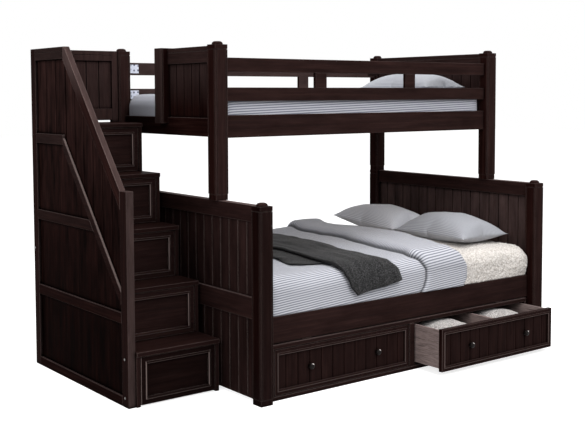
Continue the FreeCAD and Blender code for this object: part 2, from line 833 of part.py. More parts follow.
def make_unit():
    frame_top_low = unit_tall - unit_top_rail
    mid_left = bed_middle - unit_mid_stile / 2
    mid_right = bed_middle + unit_mid_stile / 2
    part_left = bed_middle - unit_partition / 2
    part_right = bed_middle + unit_partition / 2
    inner_back = unit_back - unit_panel
    under_top = unit_tall - unit_panel
    left_stile = unit_left + unit_side_stile
    right_stile = unit_right - unit_side_stile
    left_wall = unit_left + unit_wall
    right_wall = unit_right - unit_wall
    case = [board(unit_left, unit_right, unit_front, unit_frame_back, frame_top_low, unit_tall),
            board(unit_left, unit_right, unit_front, unit_frame_back, 0, unit_bottom_rail)]
    for x0, x1 in ((unit_left, left_stile), (mid_left, mid_right), (right_stile, unit_right)):
        case.append(board(x0, x1, unit_front, unit_frame_back, unit_bottom_rail, frame_top_low))
    for x0, x1 in ((unit_left, left_wall), (part_left, part_right), (right_wall, unit_right)):
        case.append(board(x0, x1, unit_frame_back, inner_back, unit_bottom_rail, under_top))
    case.append(board(unit_left, unit_right, unit_frame_back, inner_back, under_top, unit_tall))
    case.append(board(unit_left, unit_right, unit_frame_back, inner_back,
                      unit_bottom_rail - unit_panel, unit_bottom_rail))
    case.append(board(unit_left, unit_right, inner_back, unit_back, 0, unit_tall))
    for x0, x1 in ((left_wall, left_wall + runner_width), (part_left - runner_width, part_left),
                   (part_right, part_right + runner_width), (right_wall - runner_width, right_wall)):
        case.append(board(x0, x1, runner_front, inner_back, unit_bottom_rail,
                          unit_bottom_rail + runner_tall))
    # Spacers that fix the top of the unit to the underside of the side rail.
    for share in (spacer_share, 1 - spacer_share):
        x = unit_left + share * (unit_right - unit_left)
        case.append(board(x - spacer_length / 2, x + spacer_length / 2, lower_rail_setback, lower_rail_inner,
                          unit_tall, lower_rail_low))
    nodes["underbed_case"] = case
    make_underbed_drawer("left", left_stile, mid_left, 0, False)
    make_underbed_drawer("right", mid_right, right_stile, drawer_open, True)


# Turned knob that stands out towards -y.
def knob(x, y, z):
    radius = knob_diameter / 2
    base = knob_base_diameter / 2
    neck = knob_neck_diameter / 2
    flat = knob_flat_diameter / 2
    ball = (knob_reach - knob_neck_tall) / 2
    lean = math.sqrt(1 / 2)
    at = Vec(x, y, z)
    foot = [at, at + Vec(base, 0, 0), at + Vec(base, -knob_base_tall, 0), at + Vec(neck, -knob_base_tall, 0),
            at + Vec(neck, -knob_neck_tall, 0)]
    under = at + Vec(neck + (radius - neck) * lean, -knob_neck_tall - ball * (1 - lean), 0)
    widest = at + Vec(radius, -knob_neck_tall - ball, 0)
    over = at + Vec(flat + (radius - flat) * lean, -knob_neck_tall - ball * (1 + lean), 0)
    brow = at + Vec(flat, -knob_reach, 0)
    tip = at + Vec(0, -knob_reach, 0)
    edges = [line(a, b) for a, b in zip(foot, foot[1:])]
    edges += [arc(foot[-1], under, widest), arc(widest, over, brow), line(brow, tip), line(tip, at)]
    return Part.Face(Part.Wire(edges)).revolve(at, Vec(0, 1, 0), 360)


def make_underbed_drawer(name, x_from, x_to, opened, divided):
    left = x_from + drawer_reveal
    right = x_to - drawer_reveal
    low = unit_bottom_rail + drawer_reveal
    top = unit_tall - unit_top_rail - drawer_reveal
    face = drawer_face - opened
    panel = face + drawer_frame
    back = face + drawer_front_thick
    front = beadboard_x(left, right, panel, low, top, drawer_board, False)
    nodes["underbed_%s_front" % name] = [front] + front_trim(left, right, face, low, top,
                                                             drawer_frame, drawer_border)
    box_left = left + drawer_side_inset
    box_right = right - drawer_side_inset
    box_back = back + drawer_depth
    walls = drawer_box(box_left, box_right, back, box_back, drawer_rest, drawer_rest + drawer_tall,
                       drawer_side, drawer_bottom, drawer_bottom_lift)
    if divided:
        middle = (left + right) / 2
        floor = drawer_rest + drawer_bottom_lift + drawer_bottom
        walls.append(board(middle - drawer_side / 2, middle + drawer_side / 2, back, box_back - drawer_side,
                           floor, drawer_rest + drawer_tall))
    nodes["underbed_%s_box" % name] = walls
    height = (low + top) / 2
    nodes["underbed_%s_knobs" % name] = [knob(left + share * (right - left), panel, height)
                                         for share in (knob_share, 1 - knob_share)]
    if divided:
        make_blankets(box_left, box_right, back)


# Soft pieces

# Section across the bed at x: upright sides, round shoulders and a crowned top.
def bed_section(x, front, back, low, shoulder, turn, crown):
    front_centre = Vec(x, front + turn, shoulder - turn)
    back_centre = Vec(x, back - turn, shoulder - turn)
    up = Vec(0, 0, turn)
    out = Vec(0, turn, 0)
    foot, heel = Vec(x, front, low), Vec(x, back, low)
    peak = Vec(x, (front + back) / 2, shoulder + crown)
    front_top, back_top = front_centre + up, back_centre + up
    front_side, back_side = front_centre - out, back_centre + out
    edges = [line(foot, front_side), arc(front_side, corner_point(front_centre, up, -out), front_top),
             arc(front_top, peak, back_top), arc(back_top, corner_point(back_centre, up, out), back_side),
             line(back_side, heel), line(heel, foot)]
    return Part.Wire(edges)


# Covering laid over the bed from x0 to x1, its shape grown on all sides by the given amount.
def covering(x0, x1, front, back, low, shoulder, turn, crown, grow):
    wire = bed_section(x0, front - grow, back + grow, low, shoulder + grow, turn + grow, crown)
    return Part.Face(wire).extrude(Vec(x1 - x0, 0, 0))


# Mattress with a crowned top and ends that round off, grown by the given clearance.
def mattress(front, back, low, top, turn, grow):
    stations = []
    for run, inset in zip(end_round_shares, end_inset_shares):
        stations.append((mattress_left - grow + run * mattress_end_round, inset * mattress_end_round))
    for run, inset in zip(reversed(end_round_shares), reversed(end_inset_shares)):
        stations.append((mattress_right + grow - run * mattress_end_round, inset * mattress_end_round))
    wires = [bed_section(x, front - grow + inset, back + grow - inset, low, top + grow - inset, turn + grow,
                         mattress_crown) for x, inset in stations]
    return Part.makeLoft(wires, True, True)


def lower_mattress(grow):
    return mattress(lower_mattress_front, lower_mattress_back, mattress_seat, lower_mattress_top,
                    lower_mattress_round, grow)


def duvet_shape(x0, x1, grow):
    return covering(x0, x1, duvet_front, duvet_back, cloth_low, duvet_shoulder, duvet_round,
                    duvet_crown, grow)


def make_lower_bedding():
    core = lower_mattress(cloth_gap)
    nodes["lower_mattress"] = [lower_mattress(0)]

    # The duvet's head end is turned down into a thicker band, which rolls up from the rest with a round nose.
    body = duvet_shape(duvet_left, duvet_right, 0)
    band_left = duvet_right - duvet_band
    stations = [(band_left + run * duvet_band_nose, inset * duvet_band_thick)
                for run, inset in zip(end_round_shares, end_inset_shares)]
    stations.append((duvet_right, 0))
    wires = [bed_section(x, duvet_front, duvet_back, cloth_low, duvet_shoulder + duvet_band_thick - inset,
                         duvet_round, duvet_crown) for x, inset in stations]
    nodes["duvet"] = [body.fuse(Part.makeLoft(wires, True, True)).removeSplitter().cut(core)]

    # The fleece wraps the head end of the mattress.
    fleece_left = duvet_right + seat_gap
    fleece_right = mattress_right + cloth_gap + fleece_end
    front = lower_mattress_front - cloth_gap - fleece_side
    back = lower_mattress_back + cloth_gap + fleece_side
    stations = [(fleece_left, 0)]
    for run, inset in zip(reversed(end_round_shares), reversed(end_inset_shares)):
        stations.append((fleece_right - run * fleece_end_round, inset * fleece_end_round))
    wires = [bed_section(x, front + inset, back - inset, cloth_low, fleece_shoulder - inset, fleece_round,
                         fleece_crown) for x, inset in stations]
    nodes["fleece_cover"] = [Part.makeLoft(wires, True, True).cut(core)]
    make_throw()
    make_pillows(front + fleece_round, back - fleece_round)


# Blanket folded lengthways, laid across the duvet and hanging over the front edge.
def make_throw():
    head_edge = duvet_right - throw_head_edge
    foot_edge = head_edge - throw_width
    fold_edge = foot_edge - throw_fold
    back_edge = duvet_back - throw_back_room
    front_edge = duvet_front - throw_thick - cloth_gap - overrun
    hem = duvet_shoulder - throw_drop
    high = duvet_shoulder + duvet_crown + throw_thick + overrun
    reach = max(throw_slant, throw_flare) + overrun
    inner = duvet_shape(fold_edge - overrun, head_edge + reach, cloth_gap)

    def layer(thick, plan):
        outer = duvet_shape(fold_edge - overrun, head_edge + reach, cloth_gap + thick)
        return outer.common(prism_along_z(plan, hem, high))

    shoulder_y = duvet_front + duvet_round
    main = layer(throw_thick, [(foot_edge + throw_slant, front_edge), (head_edge + throw_slant, front_edge),
                               (head_edge, shoulder_y), (head_edge + throw_flare, back_edge),
                               (foot_edge + throw_flare, back_edge), (foot_edge, shoulder_y)])
    fold_front = shoulder_y + throw_fold_room
    fold = layer(throw_fold_thick, [(fold_edge + throw_flare, fold_front), (head_edge, fold_front),
                                    (head_edge, back_edge), (fold_edge, back_edge)])
    nodes["throw_blanket"] = [main.fuse(fold).removeSplitter().cut(inner)]


# Pillow from x0 to x1 and y0 to y1: lens sections between thin, pointed ends and drawn-in long sides.
def pillow(x0, x1, y0, y1, low, tall, seam_lift):
    middle = (x0 + x1) / 2
    wires = []
    for station, height, draw in zip(pillow_station_shares, pillow_tall_shares, pillow_draw_shares):
        y = y0 + station * (y1 - y0)
        left = x0 + draw * pillow_draw
        right = x1 - draw * pillow_draw
        seam = low + seam_lift
        top = Vec(middle, y, seam + pillow_rim + height * (tall - seam_lift - pillow_rim))
        under = Vec(middle, y, seam - pillow_rim - height * (seam_lift - pillow_rim))
        start, end = Vec(left, y, seam), Vec(right, y, seam)
        wires.append(Part.Wire([arc(start, top, end), arc(end, under, start)]))
    return Part.makeLoft(wires, True, False)


# How far the crowned top of the fleece stands above its shoulders at y.
def fleece_swell(y, front, back):
    half = (back - front) / 2
    turn = (half ** 2 + fleece_crown ** 2) / (2 * fleece_crown)
    return fleece_crown - turn + math.sqrt(turn ** 2 - (y - front - half) ** 2)


def make_pillows(crown_front, crown_back):
    right = mattress_right - pillow_head_room
    left = right - pillow_width
    near_front = lower_mattress_front + pillow_front_room
    near_back = near_front + pillow_length
    far_front = near_back + pillow_between
    for name, front in (("near", near_front), ("far", far_front)):
        low = fleece_shoulder + fleece_swell(front + pillow_length / 2, crown_front, crown_back) + seat_gap
        nodes["pillow_" + name] = [pillow(left, right, front, front + pillow_length, low, pillow_tall,
                                          pillow_seam_lift)]


def make_loft_bedding():
    front = loft_rail_inner + mattress_side_play
    back = lower_back_inner - mattress_side_play
    low = loft_slat_level + slat_thick + seat_gap
    top = low + upper_mattress_tall
    nodes["upper_mattress"] = [mattress(front, back, low, top, upper_mattress_round, 0)]
    pillow_right = mattress_right - upper_pillow_head_room
    pillow_front = front + upper_pillow_front_room
    nodes["upper_pillow"] = [pillow(pillow_right - upper_pillow_width, pillow_right, pillow_front,
                                    pillow_front + upper_pillow_length, top + mattress_crown + seat_gap,
                                    upper_pillow_tall, upper_pillow_seam_lift)]


# Two folded blankets in the open drawer, each with a crowned top and soft sides.
def make_blankets(box_left, box_right, front):
    floor = drawer_rest + drawer_bottom_lift + drawer_bottom + seat_gap
    middle = (box_left + box_right) / 2
    start = front + blanket_front_room
    made = []
    for left in (box_left + drawer_side + blanket_wall_room, middle + drawer_side / 2 + blanket_wall_room):
        right = left + blanket_width
        wires = []
        for station, height in zip(blanket_station_shares, blanket_tall_shares):
            y = start + station * blanket_depth
            crest = floor + height * blanket_tall
            shoulder = crest - blanket_crown
            in_left, in_right = left + blanket_side_round, right - blanket_side_round
            waist = (floor + shoulder) / 2
            bulge = blanket_side_round / 2
            foot, heel = Vec(in_left, y, floor), Vec(in_right, y, floor)
            head_left, head_right = Vec(in_left, y, shoulder), Vec(in_right, y, shoulder)
            wires.append(Part.Wire([arc(foot, Vec(in_left - bulge, y, waist), head_left),
                                    arc(head_left, Vec((left + right) / 2, y, crest), head_right),
                                    arc(head_right, Vec(in_right + bulge, y, waist), heel),
                                    line(heel, foot)]))
        made.append(Part.makeLoft(wires, True, False))
    nodes["drawer_blankets"] = made


make_lower_bed()
make_slat_supports()
make_loft()
make_hardware()
make_stair_side()
make_steps()
make_stair_drawers()
make_unit()
make_lower_bedding()
make_loft_bedding()

os.makedirs("parts", exist_ok=True)
shift = Vec(-origin_x, -origin_y, 0)
for name, solids in nodes.items():
    shape = solids[0] if len(solids) == 1 else Part.makeCompound(solids)
    shape = shape.translated(shift)
    shape.exportStep("parts/" + name + ".step")
    print(name, len(shape.Solids), "solids", round(shape.Volume / 1000), "cm3", shape.isValid())
print(len(nodes), "nodes")
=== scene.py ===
import functools
import math
import bmesh
import bpy
from mathutils import Matrix, Vector, noise


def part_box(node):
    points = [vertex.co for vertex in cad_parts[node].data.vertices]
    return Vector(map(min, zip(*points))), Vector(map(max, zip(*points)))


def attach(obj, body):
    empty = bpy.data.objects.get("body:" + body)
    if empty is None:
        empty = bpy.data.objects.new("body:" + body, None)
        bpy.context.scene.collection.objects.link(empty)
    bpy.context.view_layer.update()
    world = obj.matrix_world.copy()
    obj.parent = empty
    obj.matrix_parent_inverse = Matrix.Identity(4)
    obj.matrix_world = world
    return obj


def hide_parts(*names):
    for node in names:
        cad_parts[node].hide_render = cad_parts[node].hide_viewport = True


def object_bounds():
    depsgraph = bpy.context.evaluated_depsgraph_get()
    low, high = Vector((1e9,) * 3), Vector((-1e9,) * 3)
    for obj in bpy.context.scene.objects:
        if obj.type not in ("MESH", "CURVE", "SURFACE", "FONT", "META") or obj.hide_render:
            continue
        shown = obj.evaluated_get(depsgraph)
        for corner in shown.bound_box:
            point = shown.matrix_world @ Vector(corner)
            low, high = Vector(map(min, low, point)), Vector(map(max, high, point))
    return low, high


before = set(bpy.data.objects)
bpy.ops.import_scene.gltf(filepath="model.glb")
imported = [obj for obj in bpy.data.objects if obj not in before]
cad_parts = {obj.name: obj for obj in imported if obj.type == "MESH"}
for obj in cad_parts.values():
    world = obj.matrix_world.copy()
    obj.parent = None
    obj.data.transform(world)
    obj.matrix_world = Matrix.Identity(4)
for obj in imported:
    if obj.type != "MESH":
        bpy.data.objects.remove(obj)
cadLow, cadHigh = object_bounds()
mm = 0.001


# sRGB hex to linear
def linear(hexColour):
    channels = [int(hexColour[place:place + 2], 16) / 255 for place in (1, 3, 5)]
    return [c / 12.92 if c <= 0.04045 else ((c + 0.055) / 1.055) ** 2.4 for c in channels] + [1.0]


# settings go to sockets or attributes by name, stops fill a colour ramp, links feed sockets from a socket
# or from a node's first output
def addNode(tree, kind, settings=None, links=None, stops=None):
    node = tree.nodes.new("ShaderNode" + kind)
    for key, value in (settings or {}).items():
        if isinstance(key, int) or key in node.inputs:
            node.inputs[key].default_value = value
        else:
            setattr(node, key, value)
    for index, (place, colour) in enumerate(stops or []):
        stop = node.color_ramp.elements[index] if index < 2 else node.color_ramp.elements.new(place)
        stop.position = place
        stop.color = linear(colour)
    for key, source in (links or {}).items():
        isNode = isinstance(source, bpy.types.Node)
        tree.links.new(source.outputs[0] if isNode else source, node.inputs[key])
    return node


def fromTo(low, high, first=0.0, last=1.0):
    # the four numbers of a Map Range
    return {1: low, 2: high, 3: first, 4: last}


def towards(colour):
    # a Mix that ends in one colour
    return {"data_type": "RGBA", 7: linear(colour)}


def toneStops(look, places):
    return list(zip(places, (look["deep"], look["body"], look["pale"])))


def nodeAdder(owner):
    owner.use_nodes = True
    owner.node_tree.nodes.clear()
    return functools.partial(addNode, owner.node_tree)


def newMaterial(name):
    material = bpy.data.materials.new(name)
    add = nodeAdder(material)
    return material, add, add("TexCoord").outputs["Object"]


def finishMaterial(add, settings, links):
    add("OutputMaterial", None, {0: add("BsdfPrincipled", settings, links)})


times = {"operation": "MULTIPLY"}
larger = {"operation": "MAXIMUM"}
# most of a noise lies between these
noiseSpan = (0.3, 0.7)


def pattern(add, kind, place, size, settings, lean=0.0):
    # a texture whose unit has these real lengths along x, y and z
    mapping = add("Mapping", {"vector_type": "TEXTURE", "Scale": size, "Rotation": (lean, 0, 0)},
                  {"Vector": place})
    return add(kind, {"Scale": 1.0, **settings}, {"Vector": mapping})


def facing(add, normal, way, reach, most):
    # how squarely a face looks one way, from none at the start of reach to most at its end
    toward = add("VectorMath", {"operation": "DOT_PRODUCT", 1: way}, {0: normal})
    return add("MapRange", fromTo(*reach, 0.0, most), {0: toward.outputs["Value"]})


# Wood finishes

espresso = {
    "deep": "#150807", "body": "#1e0e0c", "pale": "#2e1c19", "stops": (0.3, 0.52, 0.78),
    # colours of the painted highlight on arrises, partly wear, and of the painted sheen
    "wornAndPaintedLight": "#8a7a76", "sheenColour": "#5a4b49",
    # lengths along and across the grain
    "grain": (420 * mm, 11 * mm), "pore": (60 * mm, 1.6 * mm), "blotch": (240 * mm, 45 * mm),
    "poreDepth": 0.4 * mm, "paleArrisRadius": 3.2 * mm, "crevice": 22 * mm,
    # how squarely a face looks one way, where the painted sheen starts and where it is full
    "slopes": (0.2, 0.75), "square": (0.6, 0.95),
    "patchy": (0.7, 1.3), "bend": (0.995, 0.88), "proud": (0.5, 0.75), "roughness": (0.36, 0.52),
    "cloudSpan": (0.3, 0.72), "sheenSpan": (0.25, 0.75),
    # heights between which some boards get paler, a painted light level
    "paintedLightRise": (0.35, 1.55),
}
# what a board has unless its finish below says otherwise
plainBoard = {
    # tone and paintedTopLight: the board's painted light level, over all and towards its top
    "lean": 0.0, "paintedLightLevel": 1.0, "paintedTopLight": None, "mottle": 0.25, "gloss": 0.003,
    # painted sheen, greying as light would: the way the light comes from, and how much on that side and on
    # level tops
    "paintedSheen": 0.1, "sheenWay": (0, -0.75, 0.66), "topSheen": 0.3,
    # painted light on the stair's side, greying it towards the top: most, and the heights where it starts and
    # is full
    "sideSheen": None,
    # arris: painted highlight on the arrises, partly wear; glint: painted highlight on slopes that look given
    # ways
    "arris": 0.2, "glint": [],
    # painted shade in grooves: openness where it is darkest and where it ends, and the darkest
    "hollow": (0.3, 0.9, 0.35),
    # depths behind which a drawer's box or a front's grooved field starts
    "boxFrom": None, "fieldFrom": None,
}
boxWood = {"deep": "#3a2e2c", "body": "#7d6d6a", "pale": "#978681", "grain": (90 * mm, 7 * mm)}
slatWood = {"deep": "#b58d5e", "body": "#cfa878", "pale": "#e0c296", "grain": (500 * mm, 9 * mm)}
sawn = {"stops": (0.28, 0.5, 0.72), "depth": 0.5 * mm, "roughness": 0.62, "gloss": 0.3}


def onBoard(axis, size):
    return [size[0] if letter == axis else size[1] for letter in "xyz"]


# Birch boards stained espresso under satin lacquer: near black, faintly streaked, with painted light: a
# painted sheen greys the faces turned to the light and level tops, painted highlights pale the arrises, partly
# wear, painted shade darkens grooves, and each board has its own painted light level
def espressoWood(name, axis, changes):
    look, finish = espresso, {**plainBoard, **changes}
    paintedLightLevel, mottle, lean = finish["paintedLightLevel"], finish["mottle"], finish["lean"]
    material, add, place = newMaterial(name)
    split = add("SeparateXYZ", None, {0: place})
    face = add("NewGeometry").outputs["Normal"]
    grain = pattern(add, "TexNoise", place, onBoard(axis, look["grain"]),
                    {"Detail": 5.0, "Roughness": 0.62, "Distortion": 0.5}, lean)
    pores = pattern(add, "TexNoise", place, onBoard(axis, look["pore"]), {"Detail": 2.0}, lean)
    blotch = pattern(add, "TexNoise", place, onBoard(axis, look["blotch"]),
                     {"Detail": 3.0, "Roughness": 0.6}, lean)
    colour = add("ValToRGB", None, {0: grain}, toneStops(look, look["stops"]))
    # painted sheen: faces turned to the light and level tops grey over, unevenly
    reach = facing(add, face, finish["sheenWay"], look["slopes"], finish["paintedSheen"])
    above = facing(add, face, (0, 0, 1), look["square"], finish["topSheen"])
    reach = add("Math", larger, {0: reach, 1: above})
    if finish["sideSheen"]:
        # painted light: the stair's side of a board greys over towards its top
        most, lowZ, topZ = finish["sideSheen"]
        side = facing(add, face, (-1, 0, 0), look["square"], most)
        height = add("MapRange", fromTo(lowZ, topZ), {0: split.outputs[2]})
        side = add("Math", times, {0: side, 1: height})
        reach = add("Math", larger, {0: reach, 1: side})
    patchy = add("MapRange", fromTo(*noiseSpan, *look["patchy"]), {0: pores})
    reach = add("Math", times, {0: reach, 1: patchy})
    colour = add("Mix", towards(look["sheenColour"]), {0: reach, 6: colour}).outputs[2]
    if finish["boxFrom"] is not None:
        # behind the front stand the paler boards of the drawer's box
        boxed = add("ValToRGB", None, {0: grain}, toneStops(boxWood, look["stops"]))
        behind = add("Math", {"operation": "GREATER_THAN", 1: finish["boxFrom"]}, {0: split.outputs[1]})
        colour = add("Mix", {"data_type": "RGBA"}, {0: behind, 6: colour, 7: boxed}).outputs[2]
    # random mottle times the board's painted light level
    cloud = add("MapRange", fromTo(*look["cloudSpan"], (1 - mottle) * paintedLightLevel, (1 + mottle) * paintedLightLevel), {0: blotch})
    # painted highlight on arrises, partly wear, where the rounded normal leaves the face's own, but not down
    # in the grooves
    rounded = add("Bevel", {"samples": 4, "Radius": look["paleArrisRadius"]})
    bend = add("VectorMath", {"operation": "DOT_PRODUCT"}, {0: rounded, 1: face})
    edge = add("MapRange", fromTo(*look["bend"], 0.0, finish["arris"]), {0: bend.outputs["Value"]})
    crevice = add("AmbientOcclusion", {"samples": 4, "Distance": look["crevice"]})
    proud = add("MapRange", fromTo(*look["proud"]), {0: crevice.outputs["AO"]})
    edge = add("Math", times, {0: edge, 1: proud})
    for way, wayReach, most in finish["glint"]:
        # painted highlight: narrow slopes that look this way shine
        shine = facing(add, face, way, wayReach, most)
        edge = add("Math", larger, {0: edge, 1: shine})
    if finish["fieldFrom"] is not None:
        # the grooved field behind the moulding gets no painted highlight
        before = add("Math", {"operation": "LESS_THAN", 1: finish["fieldFrom"]}, {0: split.outputs[1]})
        edge = add("Math", times, {0: edge, 1: before})
    # painted shade: darker where the ambient occlusion finds a groove or crevice
    shut, clear, darkest = finish["hollow"]
    paintedGrooveShade = add("MapRange", fromTo(shut, clear, darkest, 1.0), {0: crevice.outputs["AO"]})
    shade = add("Math", times, {0: cloud, 1: paintedGrooveShade})
    if finish["paintedTopLight"] is not None:
        # painted light: paler towards the top, where the light falls
        level = add("MapRange", fromTo(*look["paintedLightRise"], 1.0, finish["paintedTopLight"] / paintedLightLevel),
                    {0: split.outputs[2]})
        shade = add("Math", times, {0: shade, 1: level})
    # the stained colour darkened by the painted light level and the painted groove shade
    stainedAndShaded = add("VectorMath", {"operation": "SCALE"}, {0: colour, "Scale": shade})
    # the stained colour is paled towards the painted highlight colour on arrises and glinting slopes
    wornAndPaintedLight = add("Mix", towards(look["wornAndPaintedLight"]), {0: edge, 6: stainedAndShaded})
    sheen = add("MapRange", fromTo(*look["sheenSpan"], *look["roughness"]), {0: blotch})
    bump = add("Bump", {"Strength": 0.12, "Distance": look["poreDepth"]}, {"Height": pores})
    finishMaterial(add, {"Specular IOR Level": finish["gloss"]},
                   {"Base Color": wornAndPaintedLight.outputs[2], "Roughness": sheen, "Normal": bump})
    return material


# Sawn softwood, planed and barely sealed: matt, with open streaks along the grain
def planedWood(name, axis, look):
    material, add, place = newMaterial(name)
    grain = pattern(add, "TexNoise", place, onBoard(axis, look["grain"]),
                    {"Detail": 6.0, "Roughness": 0.65, "Distortion": 0.8})
    colour = add("ValToRGB", None, {0: grain}, toneStops(look, sawn["stops"]))
    bump = add("Bump", {"Strength": 0.2, "Distance": sawn["depth"]}, {"Height": grain})
    finishMaterial(add, {"Roughness": sawn["roughness"], "Specular IOR Level": sawn["gloss"]},
                   {"Base Color": colour, "Normal": bump})
    return material


# Metals

bronze = {"deep": "#080403", "body": "#120b0a", "paintedHighlight": "#e0d8d5", "patch": 6 * mm,
          "highlightWay": (0.35, -0.7, 0.62), "highlightReach": (0.9, 0.97), "roughness": (0.28, 0.42)}


# Cast zinc, browned and lacquered: almost black bronze, with a painted highlight on the upper side of each
# knob
def agedBronze():
    look = bronze
    material, add, place = newMaterial("agedBronze")
    patch = pattern(add, "TexNoise", place, [look["patch"]] * 3, {"Detail": 3.0})
    colour = add("ValToRGB", None, {0: patch}, [(0.35, look["deep"]), (0.7, look["body"])])
    face = add("NewGeometry").outputs["Normal"]
    # painted highlight where the knob's surface looks up, forward and to the right
    paintedHighlight = facing(add, face, look["highlightWay"], look["highlightReach"], 1.0)
    colour = add("Mix", towards(look["paintedHighlight"]), {0: paintedHighlight, 6: colour})
    rough = add("MapRange", fromTo(*noiseSpan, *look["roughness"]), {0: patch})
    finishMaterial(add, {"Metallic": 0.3, "Specular IOR Level": 0.05, "Coat Weight": 0.1,
                         "Coat Roughness": 0.06}, {"Base Color": colour.outputs[2], "Roughness": rough})
    return material


bracketLook = {
    "white": "#c9cddb", "whitePale": "#dde0ec", "screw": "#6c7180", "brown": "#1d1211",
    "peel": 2 * mm, "peelDepth": 0.2 * mm, "screwPitch": 26 * mm, "screwEdge": (0.26, 0.2),
    # the head end starts past this x
    "headFrom": 0.2,
}


# Sheet steel, powder coated: white with screw heads by the entry, brown at the head end, a fine
# orange-peel skin
def bracketCoat():
    look = bracketLook
    material, add, place = newMaterial("bracketPowderCoat")
    peel = pattern(add, "TexNoise", place, [look["peel"]] * 3, {"Detail": 2.0})
    split = add("SeparateXYZ", None, {0: place})
    plane = add("CombineXYZ", None, {0: split.outputs[0], 1: split.outputs[2]})
    screws = pattern(add, "TexVoronoi", plane.outputs[0], [look["screwPitch"]] * 3,
                     {"voronoi_dimensions": "2D", "Randomness": 0.3})
    head = add("MapRange", fromTo(*look["screwEdge"]), {0: screws.outputs["Distance"]})
    coat = add("ValToRGB", None, {0: peel}, [(0.3, look["white"]), (0.7, look["whitePale"])])
    coat = add("Mix", towards(look["screw"]), {0: head, 6: coat})
    headEnd = add("Math", {"operation": "GREATER_THAN", 1: look["headFrom"]}, {0: split.outputs[0]})
    coat = add("Mix", towards(look["brown"]), {0: headEnd, 6: coat.outputs[2]})
    bump = add("Bump", {"Strength": 0.15, "Distance": look["peelDepth"]}, {"Height": peel})
    finishMaterial(add, {"Roughness": 0.45, "Specular IOR Level": 0.2},
                   {"Base Color": coat.outputs[2], "Normal": bump})
    return material


steel = {"deep": "#5b5755", "pale": "#7b7775", "line": 1.2 * mm}


# Turned steel, zinc plated: grey with fine lathe lines
def platedSteel():
    material, add, place = newMaterial("platedSteel")
    lines = pattern(add, "TexNoise", place, [steel["line"]] * 3, {"Detail": 3.0})
    colour = add("ValToRGB", None, {0: lines}, [(0.3, steel["deep"]), (0.7, steel["pale"])])
    finishMaterial(add, {"Metallic": 1.0, "Roughness": 0.38}, {"Base Color": colour})
    return material


# Finishes on the CAD nodes, with the way that the grain runs

handrailLow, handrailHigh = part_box("stair_handrail")
handrailRise = handrailHigh - handrailLow
flight = math.atan2(handrailRise.z, handrailRise.y)
overFlight = (0, -math.sin(flight), math.cos(flight))
# a way towards the left and front, for a painted sheen
outerSide = (-0.8, -0.5, 0)
# painted shade that goes to black deep in grooves
deepGrooveShade = (0.55, 0.97, 0.0)
mattGloss = 0.001


def mouldingGlint(side, under):
    # painted highlight on the slopes of a moulding that look left or down
    return [((-0.71, -0.71, 0), (0.74, 0.9), side), ((0, -0.71, -0.71), (0.78, 0.95), under)]


# each finish: the grain's axis, what differs from a plain board, and its nodes
boards = {
    "BoardX": ("x", {}, [
        "lower_side_rail_front", "lower_side_rail_back", "loft_side_rail_front", "loft_side_rail_back",
        "front_guard"]),
    "BoardZ": ("z", {}, [
        "lower_post_foot_back", "lower_post_head_front", "lower_post_head_back", "upper_post_foot_front",
        "upper_post_foot_back", "upper_post_head_front", "upper_post_head_back", "post_caps",
        "stair_step_sides", "stair_back_panel"]),
    "Handrail": ("y", {
        "lean": flight, "paintedSheen": 0.42, "sideSheen": (0.42, 1.45, 1.66), "arris": 0.6,
        "paintedTopLight": 1.15}, ["stair_handrail"]),
    "Stile": ("z", {"paintedSheen": 0.5, "paintedLightLevel": 0.8, "hollow": deepGrooveShade}, ["stair_side_stiles"]),
    # painted highlight on the diagonal rail's upper edge
    "SideRail": ("y", {
        "paintedSheen": 0.9, "sideSheen": (0.24, 0.35, 1.55), "arris": 0.15, "paintedLightLevel": 0.65,
        "glint": [(overFlight, (0.9, 0.97), 0.8)], "gloss": mattGloss}, ["stair_side_rails"]),
    "SidePanel": ("z", {
        "sideSheen": (0.06, 0.35, 1.55), "arris": 0.0, "paintedLightLevel": 0.3, "paintedTopLight": 1.0, "mottle": 0.7,
        "hollow": deepGrooveShade, "gloss": mattGloss}, ["stair_side_panels"]),
    "BackGuard": ("z", {"paintedSheen": 0.2, "arris": 0.1, "hollow": deepGrooveShade}, ["stair_back_guard"]),
    "FootPanel": ("z", {
        "sheenWay": outerSide, "arris": 0.7, "paintedLightLevel": 0.6, "paintedTopLight": 1.5, "mottle": 0.4},
        ["footboard_panels"]),
    "HeadPanel": ("z", {
        "paintedSheen": 0.38, "sheenWay": outerSide, "arris": 0.0, "mottle": 0.4, "hollow": deepGrooveShade},
        ["headboard_panels"]),
    "LoftPanel": ("z", {
        "sideSheen": (0.22, 1.42, 1.6), "arris": 0.0, "paintedLightLevel": 0.75, "hollow": deepGrooveShade},
        ["loft_foot_panel", "loft_head_panel"]),
    "LoftRail": ("y", {"sideSheen": (0.15, 1.4, 1.62), "topSheen": 0.9, "paintedLightLevel": 0.85},
                 ["loft_foot_rails", "loft_head_rails"]),
    "EntryPost": ("z", {"paintedSheen": 0.2, "sheenWay": (-1, 0, 0), "paintedLightLevel": 0.8}, ["entry_post"]),
    "FootPost": ("z", {"paintedLightLevel": 0.55}, ["lower_post_foot_front"]),
    "BoardTop": ("y", {"paintedSheen": 0.08, "sheenWay": outerSide, "topSheen": 0.9, "arris": 0.3},
                 ["footboard_rails", "headboard_rails"]),
    "Tread": ("x", {"paintedSheen": 0.07, "topSheen": 0.02, "arris": 0.35, "paintedLightLevel": 0.9}, ["stair_treads"]),
    "InnerGuard": ("x", {"paintedSheen": 0.35}, ["back_guard"]),
    "Case": ("x", {"topSheen": 0.8, "arris": 0.4, "paintedLightLevel": 0.85}, ["underbed_case"]),
}
